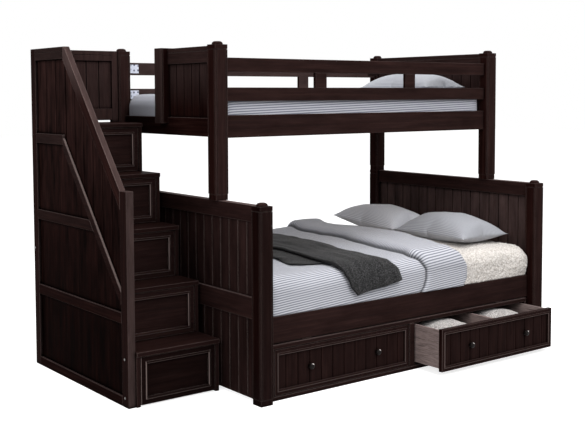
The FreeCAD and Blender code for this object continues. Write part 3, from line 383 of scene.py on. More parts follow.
# painted light levels and highlights, from the lowest front, which is painted the darkest, upwards
stairDrawers = {"frontThick": 20.5 * mm, "paintedLightLevels": (0.4, 0.95, 0.8, 0.9, 1.0),
                "glints": ((0.6, 0.36), (0.75, 0.45), (0.9, 0.54), (0.9, 0.54), (0.9, 0.54))}
for number, (paintedLightLevel, glint) in enumerate(zip(stairDrawers["paintedLightLevels"], stairDrawers["glints"]), 1):
    name = "stair_drawer_%d" % number
    boards["Drawer%d" % number] = ("x", {
        "boxFrom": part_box(name)[0].y + stairDrawers["frontThick"], "arris": 0.6,
        "glint": mouldingGlint(*glint), "paintedLightLevel": paintedLightLevel, "gloss": mattGloss}, [name])
bedDrawers = {"glint": mouldingGlint(0.3, 0.6), "arris": 0.4, "paintedLightLevel": 0.75, "hollow": (0.3, 0.9, 0.5)}
moulding = 4 * mm
for side in ("left", "right"):
    name = "underbed_%s_front" % side
    boards["Front" + side.title()] = ("z", {**bedDrawers, "fieldFrom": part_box(name)[0].y + moulding}, [name])

finishes = [(espressoWood("espresso" + name, axis, changes), nodes)
            for name, (axis, changes, nodes) in boards.items()]
finishes += [
    (planedWood("slatPine", "y", slatWood), ["lower_slats", "loft_slats", "slat_supports"]),
    (planedWood("drawerBoxBoard", "y", boxWood), ["underbed_left_box", "underbed_right_box"]),
    (agedBronze(), ["underbed_left_knobs", "underbed_right_knobs"]),
    (bracketCoat(), ["guard_brackets"]),
    (platedSteel(), ["steel_fasteners"]),
]
for material, names in finishes:
    for name in names:
        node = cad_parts[name]
        node.data.materials.clear()
        node.data.materials.append(material)
print("finishes on", sum(len(names) for material, names in finishes), "nodes")


# Soft pieces, in the bed's own millimetres from its foot front corner

# where the frame's origin lies in them
bedOrigin = Vector((783.5, 646.0, 0.0))


def bedPoint(x, y, z):
    return (Vector((x, y, z)) - bedOrigin) * mm


def easeIn(low, high, value):
    share = min(1.0, max(0.0, (value - low) / (high - low)))
    return share * share * (3 - 2 * share)


def quarterTurn(share):
    # rises like a quarter of a circle
    return math.sqrt(1 - (1 - min(1.0, max(0.0, share))) ** 2)


def ridge(distance, width):
    return math.exp(-(distance / width) ** 2)


def follow(places, value):
    # eased value between the nearest two (place, value) pairs
    for (low, before), (high, after) in zip(places, places[1:]):
        if value <= high:
            return before + (after - before) * easeIn(low, high, value)
    return places[-1][1]


def wander(x, y, size, seed=0.0):
    # noise with waves of this size, and a seed that keeps one pattern apart from the next
    return noise.noise(Vector((x / size, y / size, seed)))


def overBed(cover, run):
    # y, z and outward direction at a distance along a section over the bed, from the front hem
    turn = cover["turn"]
    side = cover["shoulder"] - turn - cover["hem"]
    bend = turn * math.pi / 2
    flat = cover["back"] - cover["front"] - 2 * turn
    half = side + bend + flat / 2
    step = 2 * half - run if run > half else run
    if step < side:
        y, z, out, up = cover["front"], cover["hem"] + step, -1.0, 0.0
    elif step < side + bend:
        angle = (step - side) / turn
        y = cover["front"] + turn * (1 - math.cos(angle))
        z = cover["shoulder"] - turn * (1 - math.sin(angle))
        out, up = -math.cos(angle), math.sin(angle)
    else:
        y = cover["front"] + turn + step - side - bend
        z = cover["shoulder"] + cover["crown"] * (1 - (1 - 2 * (step - side - bend) / flat) ** 2)
        out, up = 0.0, 1.0
    if run > half:
        y, out = cover["front"] + cover["back"] - y, -out
    return y, z, out, up


def sectionLength(cover):
    turn = cover["turn"]
    return (2 * (cover["shoulder"] - turn - cover["hem"]) + math.pi * turn
            + cover["back"] - cover["front"] - 2 * turn)


def clothGrid(columns, rows, place):
    # for shares across and along, place gives a point, and its place on the flat cloth with its seam shade
    mesh = bmesh.new()
    bmesh.ops.create_grid(mesh, x_segments=columns, y_segments=rows, size=0.5)
    flatCloth = mesh.loops.layers.uv.new("flatCloth")
    # the seam layer holds painted shade for creases and folded edges
    seam = mesh.verts.layers.float.new("seam")
    placed = {vert: place(vert.co.x + 0.5, vert.co.y + 0.5) for vert in mesh.verts}
    for face in mesh.faces:
        for loop in face.loops:
            loop[flatCloth].uv = [length * mm for length in placed[loop.vert][1][:2]]
    for vert, (point, flat) in placed.items():
        vert.co = bedPoint(*point)
        vert[seam] = flat[2]
    return mesh


def meshData(name, mesh):
    data = bpy.data.meshes.new(name)
    mesh.to_mesh(data)
    mesh.free()
    return data


def addObject(name, data):
    item = bpy.data.objects.new(name, data)
    bpy.context.scene.collection.objects.link(item)
    return item


def finishPiece(name, mesh, material, nodes, body="frame"):
    for face in mesh.faces:
        face.smooth = True
    piece = addObject(name, meshData(name, mesh))
    piece.data.materials.append(material)
    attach(piece, body)
    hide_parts(*nodes)
    return piece


def thicken(piece, thickness, offset=-1.0):
    wall = piece.modifiers.new("thickness", "SOLIDIFY")
    wall.thickness = thickness * mm
    wall.offset = offset


# Fabrics

cottons = {
    "stripedSateen": {"ground": "#cfd0d7", "line": "#83858f", "period": 12 * mm, "thread": 1.6 * mm},
    "pillowTicking": {"ground": "#aeafb4", "line": "#8f9199", "period": 9 * mm, "thread": 1.4 * mm},
    # a paler copy of the ticking, painted light for the far pillow, which lies in shade
    "paintedLightPillowTicking": {"ground": "#dadbe0", "line": "#b4b6c0", "period": 9 * mm, "thread": 1.4 * mm},
    # the mattress has no flat cloth: up the side and over the top count as one distance
    "mattressSateen": {"ground": "#c3c4cc", "line": "#7c7e8b", "period": 13 * mm, "thread": 1.6 * mm,
                       "across": (-0.03, 1, 1)},
}
sateen = {"lineEdge": (-0.25, 0.35), "threadShade": (0.92, 1.04), "threadDepth": 0.6 * mm, "seamShade": -0.75}


# Cotton sateen printed with fine lengthwise stripes: matt, blue-grey on near white, soft weave
def stripedCotton(name, look):
    material, add, place = newMaterial(name)
    if "across" in look:
        across = add("VectorMath", {"operation": "DOT_PRODUCT", 1: look["across"]},
                     {0: place}).outputs["Value"]
    else:
        across = add("SeparateXYZ", None, {0: add("TexCoord").outputs["UV"]}).outputs[1]
    turn = add("Math", {"operation": "MULTIPLY", 1: 2 * math.pi / look["period"]}, {0: across})
    wave = add("Math", {"operation": "SINE"}, {0: turn})
    line = add("MapRange", fromTo(*sateen["lineEdge"]), {0: wave})
    weave = pattern(add, "TexNoise", place, [look["thread"]] * 3, {"Detail": 2.0})
    colour = add("Mix", {**towards(look["line"]), 6: linear(look["ground"])}, {0: line})
    wornAndPaintedLight = add("MapRange", fromTo(*noiseSpan, *sateen["threadShade"]), {0: weave})
    # painted shade along seams and creases, carried by the seam layer
    seam = add("Attribute", {"attribute_name": "seam"})
    wornAndPaintedLight = add("Math", {"operation": "MULTIPLY_ADD", 1: sateen["seamShade"]},
               {0: seam.outputs["Fac"], 2: wornAndPaintedLight})
    tinted = add("VectorMath", {"operation": "SCALE"}, {0: colour.outputs[2], "Scale": wornAndPaintedLight})
    bump = add("Bump", {"Strength": 0.25, "Distance": sateen["threadDepth"]}, {"Height": weave})
    finishMaterial(add, {"Roughness": 0.85, "Specular IOR Level": 0.15, "Sheen Weight": 0.15},
                   {"Base Color": tinted, "Normal": bump})
    return material


fleeces = {
    "creamSherpa": {"deep": "#bdb5ae", "pale": "#ebe6e1", "curl": 9 * mm},
    "whiteSherpa": {"deep": "#837e7c", "pale": "#d3cecb", "curl": 7 * mm},
}
sherpa = {"curlDepth": 3 * mm, "fibres": 3.0, "fibreShare": 0.5}


# Sherpa fleece, knitted and brushed to curls: matt cream, each curl pale on a shaded ground
def curledFleece(name, look):
    material, add, place = newMaterial(name)
    size = [look["curl"]] * 3
    curls = pattern(add, "TexVoronoi", place, size,
                    {"feature": "SMOOTH_F1", "Smoothness": 0.4, "Randomness": 1.0})
    fibre = pattern(add, "TexNoise", place, size, {"Scale": sherpa["fibres"], "Detail": 3.0})
    depth = add("Math", {"operation": "MULTIPLY_ADD", 1: sherpa["fibreShare"]},
                {0: fibre, 2: curls.outputs["Distance"]})
    colour = add("ValToRGB", None, {0: depth}, [(0.45, look["pale"]), (1.0, look["deep"])])
    high = add("Math", {"operation": "SUBTRACT", 0: 1.0}, {1: depth})
    bump = add("Bump", {"Strength": 0.8, "Distance": sherpa["curlDepth"]}, {"Height": high})
    finishMaterial(add, {"Roughness": 0.95, "Specular IOR Level": 0.05, "Sheen Weight": 0.3},
                   {"Base Color": colour, "Normal": bump})
    return material


# fleck drawn coarser than its real 2 mm so that it shows
heather = {
    "deep": "#121213", "body": "#212121", "pale": "#525153", "stops": (0.38, 0.5, 0.64),
    "fleck": 5.5 * mm, "stitch": 6 * mm, "stitchDepth": 1.2 * mm,
    # a wave texture of this scale has one row to a stitch
    "rowScale": 0.314,
}


# Wool-mix knit in charcoal heather: matt, pale and dark flecks on close stitch rows
def heatherKnit():
    look = heather
    material, add, place = newMaterial("heatherKnit")
    fleck = pattern(add, "TexNoise", place, [look["fleck"]] * 3, {"Detail": 3.0, "Roughness": 0.7})
    colour = add("ValToRGB", None, {0: fleck}, toneStops(look, look["stops"]))
    stitch = pattern(add, "TexWave", add("TexCoord").outputs["UV"], [look["stitch"]] * 3,
                     {"Scale": look["rowScale"], "Distortion": 1.5, "Detail": 2.0, "Detail Scale": 3.0})
    bump = add("Bump", {"Strength": 0.5, "Distance": look["stitchDepth"]}, {"Height": stitch})
    # painted shade: the seam layer darkens the folded turns and free edges towards the deepest colour
    seam = add("Attribute", {"attribute_name": "seam"})
    folded = add("Mix", towards(look["deep"]), {0: seam.outputs["Fac"], 6: colour})
    finishMaterial(add, {"Roughness": 0.9, "Specular IOR Level": 0.1, "Sheen Weight": 0.1},
                   {"Base Color": folded.outputs[2], "Normal": bump})
    return material


fabric = {name: stripedCotton(name, look) for name, look in cottons.items()}
fabric.update((name, curledFleece(name, look)) for name, look in fleeces.items())
print("fabrics made")

# Duvet with its head end turned down

duvetCover = {"front": 58.6, "back": 1431.4, "hem": 413.6, "shoulder": 607.0, "turn": 85.0, "crown": 17.0}
duvetForm = {
    "foot": 111.0, "bodyColumns": 88, "bandColumns": 42, "rows": 180, "thick": 15.0,
    "puff": 9.0, "puffSize": 300.0, "ripple": 3.2, "rippleSize": 110.0,
    # folds of the hanging side, drawn out along their length
    "hangFold": 6.0, "hangFoldSize": 150.0, "hangStretch": 0.25,
    # its ends round off downwards, more on top than on the sides
    "footRound": 45.0, "footDrop": 12.0, "footTopDrop": 18.0, "headRound": 30.0, "headDrop": 16.0,
    "band": 38.0, "bandSide": 0.3, "nose": 48.0, "slant": 0.07, "columnBias": 1.4,
    "crease": 5.0, "creaseWide": 14.0, "creaseShade": 7.0,
    # past the far shoulder it bunches up
    "bunch": 34.0, "bunchFrom": 980.0, "bunchEase": 140.0, "bunchRun": 1500.0, "bunchSpread": 75.0,
    # where the turned-down band starts and ends, by distance from the front hem
    "bandStart": [(0, 1123), (35, 1147), (75, 1161), (114, 1161), (170, 1137), (225, 1094), (300, 1112),
                  (470, 1116), (680, 1140), (950, 1206), (1390, 1240), (1800, 1240)],
    "bandEnd": [(0, 1449), (50, 1474), (101, 1473), (165, 1440), (215, 1402), (270, 1398), (420, 1440),
                (700, 1478), (1800, 1478)],
}


def duvetPoint(x, run, lift=0.0):
    form = duvetForm
    y, z, out, up = overBed(duvetCover, run)
    start, end = follow(form["bandStart"], run), follow(form["bandEnd"], run)
    puff = form["puff"] * wander(x, run, form["puffSize"])
    puff += form["ripple"] * wander(x, run, form["rippleSize"], 3.7)
    fold = form["hangFold"] * wander(x, run * form["hangStretch"], form["hangFoldSize"], 8.1) * abs(out)
    roll = form["band"] * quarterTurn((x - start) / form["nose"])
    roll *= form["bandSide"] + (1 - form["bandSide"]) * up
    dip = form["crease"] * ridge(x - start, form["creaseWide"])
    footDrop = form["footDrop"] + form["footTopDrop"] * up
    footDrop *= 1 - quarterTurn((x - form["foot"]) / form["footRound"])
    headDrop = form["headDrop"] * up * (1 - quarterTurn((end - x) / form["headRound"]))
    bunch = form["bunch"] * easeIn(0, form["bunchEase"], x - form["bunchFrom"])
    bunch *= ridge(run - form["bunchRun"], form["bunchSpread"])
    total = lift + puff * up + fold + roll + bunch - dip - footDrop - headDrop
    return x, y + out * total, z + up * total


def makeDuvet():
    form = duvetForm
    length = sectionLength(duvetCover)
    columns = form["bodyColumns"] + form["bandColumns"]
    share = form["bodyColumns"] / columns

    def place(across, along):
        run = along * length
        start, end = follow(form["bandStart"], run), follow(form["bandEnd"], run)
        if across <= share:
            x = form["foot"] + (start - form["foot"]) * across / share
        else:
            step = (across - share) / (1 - share)
            x = start + (end - start) * step ** form["columnBias"]
        # the third number is the painted shade along the crease
        return duvetPoint(x, run), (x, run - form["slant"] * x, ridge(x - start, form["creaseShade"]))

    mesh = clothGrid(columns, form["rows"], place)
    duvet = finishPiece("stripedDuvet", mesh, fabric["stripedSateen"], ["duvet"])
    thicken(duvet, form["thick"])


makeDuvet()
print("duvet laid")

# Fleece over the head of the mattress

fleeceCover = {"front": 61.5, "back": 1428.5, "hem": 413.6, "shoulder": 590.0, "turn": 75.0, "crown": 5.0}
fleeceForm = {
    "head": 2000.0, "tuck": 8.0, "columns": 104, "endColumns": 8, "rows": 330, "thick": 9.0,
    "endRound": 45.0, "endSide": 0.1, "curl": 7.0, "curlSize": 16.0, "curlMiddle": 0.6,
    "fluff": 2.2, "fluffSize": 6.0, "sag": 2.5, "sagSize": 160.0,
    # the hanging side swells towards the head end
    "bulge": 16.0, "bulgeFrom": 1800.0, "bulgeEase": 150.0, "bulgeRise": 60.0,
}


def makeFleece():
    form = fleeceForm
    length = sectionLength(fleeceCover)
    columns = form["columns"] + form["endColumns"]
    share = form["columns"] / columns
    hem = fleeceCover["hem"]
    middle = (fleeceCover["front"] + fleeceCover["back"]) / 2

    def place(across, along):
        run = along * length
        start = follow(duvetForm["bandEnd"], run) - form["tuck"]
        y, z, out, up = overBed(fleeceCover, run)
        x = start + (form["head"] - start) * min(1.0, across / share)
        drop = form["endRound"] * (1 - quarterTurn((form["head"] - x) / form["endRound"]))
        cells = noise.voronoi(Vector((x, y, z)) / form["curlSize"])[0]
        lump = form["curl"] * (form["curlMiddle"] - min(1.0, cells[0]))
        lump += form["fluff"] * noise.noise(Vector((x, y, z)) / form["fluffSize"])
        lump += form["sag"] * wander(x, run, form["sagSize"], 5.2)
        bulge = form["bulge"] * easeIn(0, form["bulgeEase"], x - form["bulgeFrom"]) * (1 - up)
        bulge *= easeIn(0, form["bulgeRise"], z - hem)
        total = lump + bulge - drop * (form["endSide"] + (1 - form["endSide"]) * up)
        y, z = y + out * total, z + up * total
        if abs(out) < 1:
            z = max(z, hem)
        if across > share:
            # the last columns close the head end
            inward = (across - share) / (1 - share)
            y += (middle - y) * inward
            z += (hem - z) * inward
        return (x, y, z), (x, run, 0.0)

    mesh = clothGrid(columns, form["rows"], place)
    bmesh.ops.remove_doubles(mesh, verts=mesh.verts, dist=0.05 * mm)
    fleece = finishPiece("fleeceCover", mesh, fabric["creamSherpa"], ["fleece_cover"])
    thicken(fleece, form["thick"])


makeFleece()
print("fleece laid")

# Throw folded in three lengthways, across the bed and over its front edge

throwForm = {
    "rows": 120, "thick": 4.5, "lifts": (5.0, 13.0, 24.0),
    # a layer, a turn, a layer, a turn and the top layer
    "columns": (36, 8, 28, 8, 34),
    "backRun": 1437.0, "hemFoot": 47.0, "hemHead": 90.0, "overhang": 6.0,
    "wave": 4.0, "waveSize": 130.0, "waveLift": 0.4,
    # soft ridges along the top layer
    "ridge": 8.0, "ridgeSize": 55.0, "ridgeLength": 300.0, "ridgeEase": 0.15,
    # the lowest layer's free edge ruffles
    "ruffle": 11.0, "ruffleSize": 60.0, "ruffleLift": 0.5, "loose": 0.3,
    # both free edges settle on what is under them
    "lowDip": 2.5, "lowDipShare": 0.06, "topDip": 9.0, "topDipFrom": 0.9,
    "shade": 0.6, "shadeShare": 0.08,
    # its folded foot edge, its head edge and the free edge of its lowest layer, by distance from the
    # duvet's hem
    "footEdge": [(40, 644), (102, 598), (160, 568), (210, 545), (300, 540), (500, 549), (700, 553),
                 (1440, 600)],
    "headEdge": [(40, 960), (93, 941), (150, 900), (215, 855), (262, 842), (395, 846), (650, 870),
                 (1210, 912), (1440, 925)],
    "lowEdge": [(40, 655), (210, 556), (300, 540), (320, 486), (350, 424), (390, 384), (520, 405),
                (1440, 470)],
}


def makeThrow():
    form = throwForm
    low, middle, high = form["lifts"]
    counts = form["columns"]
    total = sum(counts)
    lowTurn, highTurn = (middle - low) / 2, (high - middle) / 2

    def place(across, along):
        column = across * total
        part = 0
        while part < len(counts) - 1 and column > counts[part]:
            column -= counts[part]
            part += 1
        step = column / counts[part]
        angle = math.pi * (step - 0.5)
        flatRun = form["hemFoot"] + (form["backRun"] - form["hemFoot"]) * along
        footEdge, headEdge, lowEdge = [
            follow(form[edge], flatRun) for edge in ("footEdge", "headEdge", "lowEdge")]
        # painted shade along the turns and the lowest layer's free edge
        shade = 0.0
        if part == 0:
            x, lift = lowEdge + (headEdge - lowTurn - lowEdge) * step, low
            lift -= form["lowDip"] * (1 - easeIn(0, form["lowDipShare"], step))
            shade = form["shade"] * (1 - easeIn(0, form["shadeShare"], step))
        elif part == 1:
            x = headEdge - lowTurn + lowTurn * math.cos(angle)
            lift = (low + middle) / 2 + lowTurn * math.sin(angle)
            shade = form["shade"]
        elif part == 2:
            x, lift = headEdge - lowTurn + (footEdge - headEdge + lowTurn + highTurn) * step, middle
        elif part == 3:
            x = footEdge + highTurn - highTurn * math.cos(angle)
            lift = (middle + high) / 2 + highTurn * math.sin(angle)
            shade = form["shade"]
        else:
            x, lift = footEdge + highTurn + (headEdge + form["overhang"] - footEdge - highTurn) * step, high
            lift -= form["topDip"] * easeIn(form["topDipFrom"], 1.0, step) ** 2
        hem = form["hemFoot"] + (form["hemHead"] - form["hemFoot"]) * (x - footEdge) / (headEdge - footEdge)
        run = hem + (form["backRun"] - hem) * along
        lift += form["wave"] * (wander(x, run, form["waveSize"], 6.4) + form["waveLift"]) * lift / high
        if part == 4:
            crest = noise.noise(Vector((x / form["ridgeSize"], run / form["ridgeLength"], 2.2)))
            lift += form["ridge"] * crest * easeIn(0, form["ridgeEase"], step)
        elif part == 0:
            loose = 1 - easeIn(0, form["loose"], step)
            flutter = noise.noise(Vector((run / form["ruffleSize"], 7.7, 0)))
            lift += form["ruffle"] * loose * (form["ruffleLift"] + flutter)
        flat = (headEdge - footEdge) * (part // 2) + abs(x - footEdge)
        return duvetPoint(x, run, lift), (flat, run, shade)

    mesh = clothGrid(total, form["rows"], place)
    throw = finishPiece("throwBlanket", mesh, heatherKnit(), ["throw_blanket"])
    thicken(throw, form["thick"], 0.0)


makeThrow()
print("throw folded and laid")

# Pillows, sewn flat and filled by cloth pressure

pillowForm = {
    "columns": 46, "rows": 68, "grow": 1.06, "frames": 40, "smoothing": 24,
    # the flat case: sides drawn in between the corners, and loose enough to fill
    "drawIn": 0.035, "lens": 0.2, "slack": 2.0, "slackWaves": 9, "rim": 0.4999, "seamClear": 3.0,
    # height of the seam and of the flattened underside, as shares, and of the whole
    "seam": 0.29, "flat": 0.86, "tall": 1.07,
    # loose dents on top, and short puckers that run in from the seam
    "crumple": 3.0, "crumpleSize": 75.0, "pucker": 3.5, "puckerSize": 26.0,
    "puckerFrom": (0.72, 0.92), "puckerTo": (0.97, 1.0), "liftFrom": 0.1,
}
pillowCloth = {"quality": 5, "mass": 0.25, "tension_stiffness": 16, "compression_stiffness": 6,
               "shear_stiffness": 6, "bending_stiffness": 1.5, "use_pressure": True,
               "uniform_pressure_force": 6.0}


def inflate(piece):
    cloth = piece.modifiers.new("filling", "CLOTH")
    for key, value in pillowCloth.items():
        setattr(cloth.settings, key, value)
    cloth.settings.effector_weights.gravity = 0
    cloth.point_cache.frame_start = 1
    cloth.point_cache.frame_end = pillowForm["frames"]
    scene = bpy.context.scene
    for step in range(1, pillowForm["frames"] + 1):
        scene.frame_set(step)
    filled = bpy.data.meshes.new_from_object(piece.evaluated_get(bpy.context.evaluated_depsgraph_get()))
    piece.modifiers.clear()
    scene.frame_set(1)
    return filled


def makePillow(name, node, cotton, lifted=0.0):
    # lifted raises the corner at its foot and far side
    form = pillowForm
    low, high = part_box(node)
    size, middle = high - low, (low + high) / 2
    mesh = bmesh.new()
    bmesh.ops.create_grid(mesh, x_segments=form["columns"], y_segments=form["rows"], size=0.5)
    flatCloth = mesh.loops.layers.uv.new("flatCloth")
    for face in mesh.faces:
        for loop in face.loops:
            loop[flatCloth].uv = (loop.vert.co.y * size.y, loop.vert.co.x * size.x)
    under = bmesh.ops.duplicate(mesh, geom=mesh.verts[:] + mesh.edges[:] + mesh.faces[:])["geom"]
    bmesh.ops.reverse_faces(mesh, faces=[item for item in under if isinstance(item, bmesh.types.BMFace)])
    lower = {item for item in under if isinstance(item, bmesh.types.BMVert)}
    slack = form["slack"] * mm
    for vert in mesh.verts:
        x, y = vert.co.x, vert.co.y
        draw = 1 - form["drawIn"] * (math.cos(y * math.pi) * abs(x) + math.cos(x * math.pi) * abs(y))
        dome = math.sqrt(max(0.0, (1 - (2 * x) ** 2) * (1 - (2 * y) ** 2)))
        side = form["lens"] * size.z * dome + slack + slack * noise.noise(vert.co * form["slackWaves"])
        if max(abs(x), abs(y)) > form["rim"]:
            # both sides meet in the seam
            side = 0.0
        vert.co = Vector((x * size.x * form["grow"] * draw, y * size.y * form["grow"] * draw,
                          -side if vert in lower else side))
    bmesh.ops.remove_doubles(mesh, verts=mesh.verts, dist=0.5 * mm)
    piece = finishPiece(name, mesh, cotton, [node])
    piece.data = inflate(piece)
    filled = bmesh.new()
    filled.from_mesh(piece.data)
    inner = [vert for vert in filled.verts if abs(vert.co.z) > form["seamClear"] * mm]
    for step in range(form["smoothing"]):
        bmesh.ops.smooth_vert(filled, verts=inner, factor=0.5,
                              use_axis_x=True, use_axis_y=True, use_axis_z=True)
    reach = [max(abs(vert.co[axis]) for vert in filled.verts) for axis in range(3)]
    seam = form["seam"]
    for vert in filled.verts:
        share = [vert.co[axis] / max(reach[axis], mm) for axis in range(3)]
        rise = share[2] * (1 - seam) if share[2] > 0 else max(share[2], -form["flat"]) / form["flat"] * seam
        x, y = share[0] * size.x / 2, share[1] * size.y / 2
        toRim = max(abs(share[0]), abs(share[1]))
        along = y if abs(share[0]) > abs(share[1]) else x
        # each pillow's place seeds its dents
        loose = form["crumple"] * mm * wander(x, y, form["crumpleSize"] * mm, low.y * 9) * max(0.0, share[2])
        pucker = noise.noise(Vector((along / (form["puckerSize"] * mm), toRim * 2, low.x * 7)))
        loose += (form["pucker"] * mm * pucker * easeIn(*form["puckerFrom"], toRim)
                  * (1 - easeIn(*form["puckerTo"], toRim)))
        raised = lifted * mm * easeIn(form["liftFrom"], 1.0, (share[1] - share[0]) / 2)
        vert.co = Vector((middle.x + x, middle.y + y,
                          low.z + (seam + rise) * size.z * form["tall"] + loose + raised))
    filled.to_mesh(piece.data)
    filled.free()


makePillow("pillowNear", "pillow_near", fabric["pillowTicking"])
# the far pillow takes the paler ticking, painted light for the shade it lies in
makePillow("pillowFar", "pillow_far", fabric["paintedLightPillowTicking"], 34.0)
makePillow("upperPillow", "upper_pillow", fabric["pillowTicking"])
print("pillows filled")

# Mattresses

mattressForm = {
    "round": 42.0, "cuts": (60, 60, 21),
    # a tape edge runs round the top and the bottom
    "tape": 1.5, "tapeFrom": 24.0, "tapeWide": 6.0,
    "softness": 4.0, "softSize": 180.0, "softFrom": 2.0, "settled": 0.6,
    # through the loft's entry the foot end swells past the posts, less towards its top
    "swell": 36.0, "swellFrom": 985.0, "swellTo": 1391.0, "swellEase": 70.0, "postEase": 25.0,
    "swellOver": 1345.0, "swellRise": 30.0, "slumpFrom": 85.0, "slumpTo": 150.0, "slump": 0.6,
    "swellDeep": 120.0,
}


def roundedBlock(low, high, turn, cuts):
    # a block whose edges and corners are rounded by one radius, cut fine enough to shape
    mesh = bmesh.new()
    bmesh.ops.create_cube(mesh, size=1.0)
    size, middle = high - low, (low + high) / 2
    for axis, count in enumerate(cuts):
        along = [edge for edge in mesh.edges if abs((edge.verts[0].co - edge.verts[1].co)[axis]) > 0.9]
        bmesh.ops.subdivide_edges(mesh, edges=along, cuts=count, use_grid_fill=True)
    for vert in mesh.verts:
        point = Vector([vert.co[axis] * size[axis] for axis in range(3)])
        inner = [size[axis] / 2 - turn for axis in range(3)]
        core = Vector([max(-inner[axis], min(inner[axis], point[axis])) for axis in range(3)])
        away = point - core
        if away.length > 0:
            point = core + away.normalized() * turn
        vert.co = middle + point
    bmesh.ops.recalc_face_normals(mesh, faces=mesh.faces)
    return mesh


def makeMattress(name, node):
    form = mattressForm
    low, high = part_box(node)
    middle = (low + high) / 2
    deep = form["swellDeep"] * mm
    mesh = roundedBlock(low, high, form["round"] * mm, form["cuts"])
    for vert in mesh.verts:
        for level in (low.z + form["tapeFrom"] * mm, high.z - form["tapeFrom"] * mm):
            pinch = form["tape"] * mm * ridge(vert.co.z - level, form["tapeWide"] * mm)
            vert.co.x += math.copysign(pinch, middle.x - vert.co.x)
            vert.co.y += math.copysign(pinch, middle.y - vert.co.y)
        if vert.co.z > high.z - form["softFrom"] * mm:
            dent = wander(vert.co.x, vert.co.y, form["softSize"] * mm, 1.5)
            vert.co.z += form["softness"] * mm * (dent - form["settled"])
        if node == "upper_mattress":
            y, z = vert.co.y / mm + bedOrigin.y, vert.co.z / mm
            window = easeIn(0, form["swellEase"], y - form["swellFrom"])
            window *= easeIn(0, form["postEase"], form["swellTo"] - y)
            level = z - form["swellOver"]
            slump = 1 - form["slump"] * easeIn(form["slumpFrom"], form["slumpTo"], level)
            swell = form["swell"] * mm * window * easeIn(0, form["swellRise"], level) * slump
            vert.co.x -= swell * easeIn(0, deep, low.x + deep - vert.co.x)
    piece = finishPiece(name, mesh, fabric["mattressSateen"], [node])


makeMattress("lowerMattress", "lower_mattress")
makeMattress("upperMattress", "upper_mattress")
print("mattresses in place")

# Folded blankets in the open drawer

blanketForm = {
    "layers": 3, "cuts": (22, 20, 5), "shift": 14.0, "shrink": 7.0, "gap": 1.0,
    "left": (1107.0, 1467.0), "right": (1547.5, 1907.5),
    # the stack falls off from its crest, and its corners draw in
    "dome": 0.38, "domePower": 2.6, "domeDeep": 0.6, "corner": 0.2,
    "curl": 4.0, "curlSize": 15.0, "curlMiddle": 0.4,
    "fold": 5.0, "foldSize": 60.0, "foldSpan": 150, "foldSkew": 30,
}


def makeBlanket(name, place, seed):
    form = blanketForm
    left, right = [(x - bedOrigin.x) * mm for x in form[place]]
    low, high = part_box("drawer_blankets")
    stack = bmesh.new()
    tall = (high.z - low.z) / form["layers"]
    for layer in range(form["layers"]):
        shift = form["shift"] * mm * noise.noise(Vector((layer * 1.7, seed, 0.3)))
        shrink = form["shrink"] * mm * layer
        corner = Vector((left + shrink, low.y + shrink + abs(shift), low.z + layer * tall))
        opposite = Vector((right - shrink, high.y - shrink - abs(shift),
                           low.z + (layer + 1) * tall - form["gap"] * mm))
        pad = roundedBlock(corner, opposite, tall / 2 - form["gap"] / 2 * mm, form["cuts"])
        for vert in pad.verts:
            across = (vert.co.x - left) / (right - left) * 2 - 1
            deep = (vert.co.y - low.y) / (high.y - low.y) * 2 - 1
            draw = 1 - form["corner"] * (across * deep) ** 2
            slope = abs(across) ** form["domePower"] + form["domeDeep"] * abs(deep) ** form["domePower"]
            fall = 1 - form["dome"] * min(1.0, slope)
            crease = form["fold"] * mm * wander(across * form["foldSpan"] + form["foldSkew"] * deep,
                                                deep * form["foldSpan"], form["foldSize"], seed + layer)
            cells = noise.voronoi(vert.co / (form["curlSize"] * mm))[0]
            curl = form["curl"] * mm * (form["curlMiddle"] - min(1.0, cells[0]))
            rise = (vert.co.z - low.z) / (high.z - low.z)
            vert.co = Vector(((left + right) / 2 + across * draw * (right - left) / 2,
                              (low.y + high.y) / 2 + deep * draw * (high.y - low.y) / 2,
                              low.z + (vert.co.z - low.z) * fall + (crease + curl) * rise))
        data = meshData(name + "Layer", pad)
        stack.from_mesh(data)
        bpy.data.meshes.remove(data)
    for vert in stack.verts:
        vert.co.z = min(max(vert.co.z, low.z), high.z)
    piece = finishPiece(name, stack, fabric["whiteSherpa"], ["drawer_blankets"],
                        "bed_drawer_right")
    smooth = piece.modifiers.new("softness", "SUBSURF")
    smooth.levels = 1
    smooth.render_levels = 1


makeBlanket("drawerBlanketLeft", "left", 0.0)
makeBlanket("drawerBlanketRight", "right", 4.0)
print("blankets folded into the drawer")

# Floor, light and camera

studio = {
    "floorSize": 60.0, "floorColour": "#a8a8a8", "floorGlow": 0.76, "floorShade": 0.6,
    # light from the sky grows between two heights
    "skyColour": "#ffffff", "skyRise": (-0.1, 0.9), "skyLight": (0.3, 0.7),
    # place, size and power
    "lamps": {"key": ((-0.4, -5.6, 5.0), 4.0, 240.0), "left": ((-7.0, -1.2, 3.4), 4.0, 230.0),
              "top": ((0.6, -1.0, 6.5), 5.0, 230.0)},
}


def background(add, output, plain, bright):
    # camera, glossy and transmission rays see the bright one
    path = add("LightPath")
    seen = add("Math", larger, {0: path.outputs["Is Camera Ray"], 1: path.outputs["Is Glossy Ray"]})
    seen = add("Math", larger, {0: seen, 1: path.outputs["Is Transmission Ray"]})
    mixed = add("MixShader", None, {0: seen, 1: plain, 2: bright})
    add(output, None, {0: mixed})


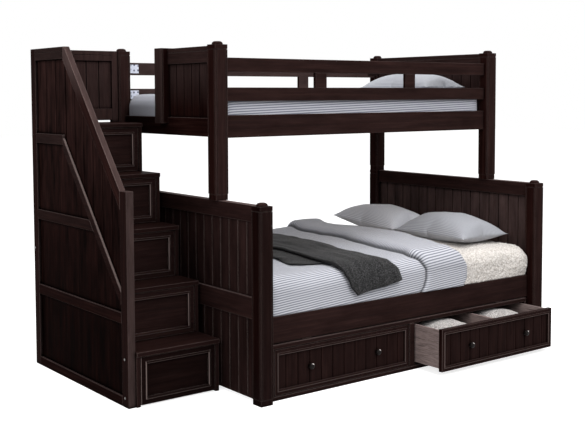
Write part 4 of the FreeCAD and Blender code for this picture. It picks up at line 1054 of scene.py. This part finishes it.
# Floor of matt board: near white with soft shadows to the eye, grey to the light that it throws back
def makeFloor():
    mesh = bmesh.new()
    bmesh.ops.create_grid(mesh, x_segments=1, y_segments=1, size=studio["floorSize"] / 2)
    floor = addObject("studioFloor", meshData("studioFloor", mesh))
    material = bpy.data.materials.new("studioFloor")
    add = nodeAdder(material)
    plain = add("BsdfDiffuse", {"Color": linear(studio["floorColour"])})
    dimmed = add("BsdfDiffuse", {"Color": [studio["floorShade"]] * 3 + [1.0]})
    light = add("Emission", {"Strength": studio["floorGlow"]})
    bright = add("AddShader", None, {0: dimmed, 1: light})
    background(add, "OutputMaterial", plain, bright)
    floor.data.materials.append(material)


# Sky of white cloth: plain white to the eye, a softer light that grows towards the top
def makeSky():
    world = bpy.data.worlds.new("studioSky")
    bpy.context.scene.world = world
    add = nodeAdder(world)
    way = add("SeparateXYZ", None, {0: add("TexCoord").outputs["Generated"]})
    level = add("MapRange", fromTo(*studio["skyRise"], *studio["skyLight"]), {0: way.outputs[2]})
    fill = add("Background", {"Color": linear(studio["skyColour"])}, {"Strength": level})
    white = add("Background", {"Color": linear(studio["skyColour"]), "Strength": 1.0})
    background(add, "OutputWorld", fill, white)


def makeLamps():
    middle = (cadLow + cadHigh) / 2
    for name, (place, size, power) in studio["lamps"].items():
        lamp = bpy.data.lights.new(name + "Softbox", "AREA")
        lamp.size = size
        lamp.energy = power
        holder = addObject(name + "Softbox", lamp)
        holder.location = place
        holder.rotation_euler = (middle - holder.location).to_track_quat("-Z", "Y").to_euler()


photoCamera = {
    "place": (-3.5585, -4.5192, 1.4942),
    "heading": 37.466, "pitch": -3.713, "roll": -0.183,
    "sensor": 36.0, "lens": 62.408, "shiftY": -0.10,
}


def makeCamera():
    data = bpy.data.cameras.new("photoCamera")
    data.sensor_width = photoCamera["sensor"]
    data.lens = photoCamera["lens"]
    data.shift_y = photoCamera["shiftY"]
    camera = addObject("photoCamera", data)
    camera.location = photoCamera["place"]
    turn = (Matrix.Rotation(-math.radians(photoCamera["heading"]), 3, "Z")
            @ Matrix.Rotation(math.radians(90 + photoCamera["pitch"]), 3, "X")
            @ Matrix.Rotation(math.radians(photoCamera["roll"]), 3, "Z"))
    camera.rotation_euler = turn.to_euler()
    bpy.context.scene.camera = camera


makeFloor()
makeSky()
makeLamps()
makeCamera()
bpy.context.scene.view_settings.view_transform = "Standard"
print("studio and camera set")
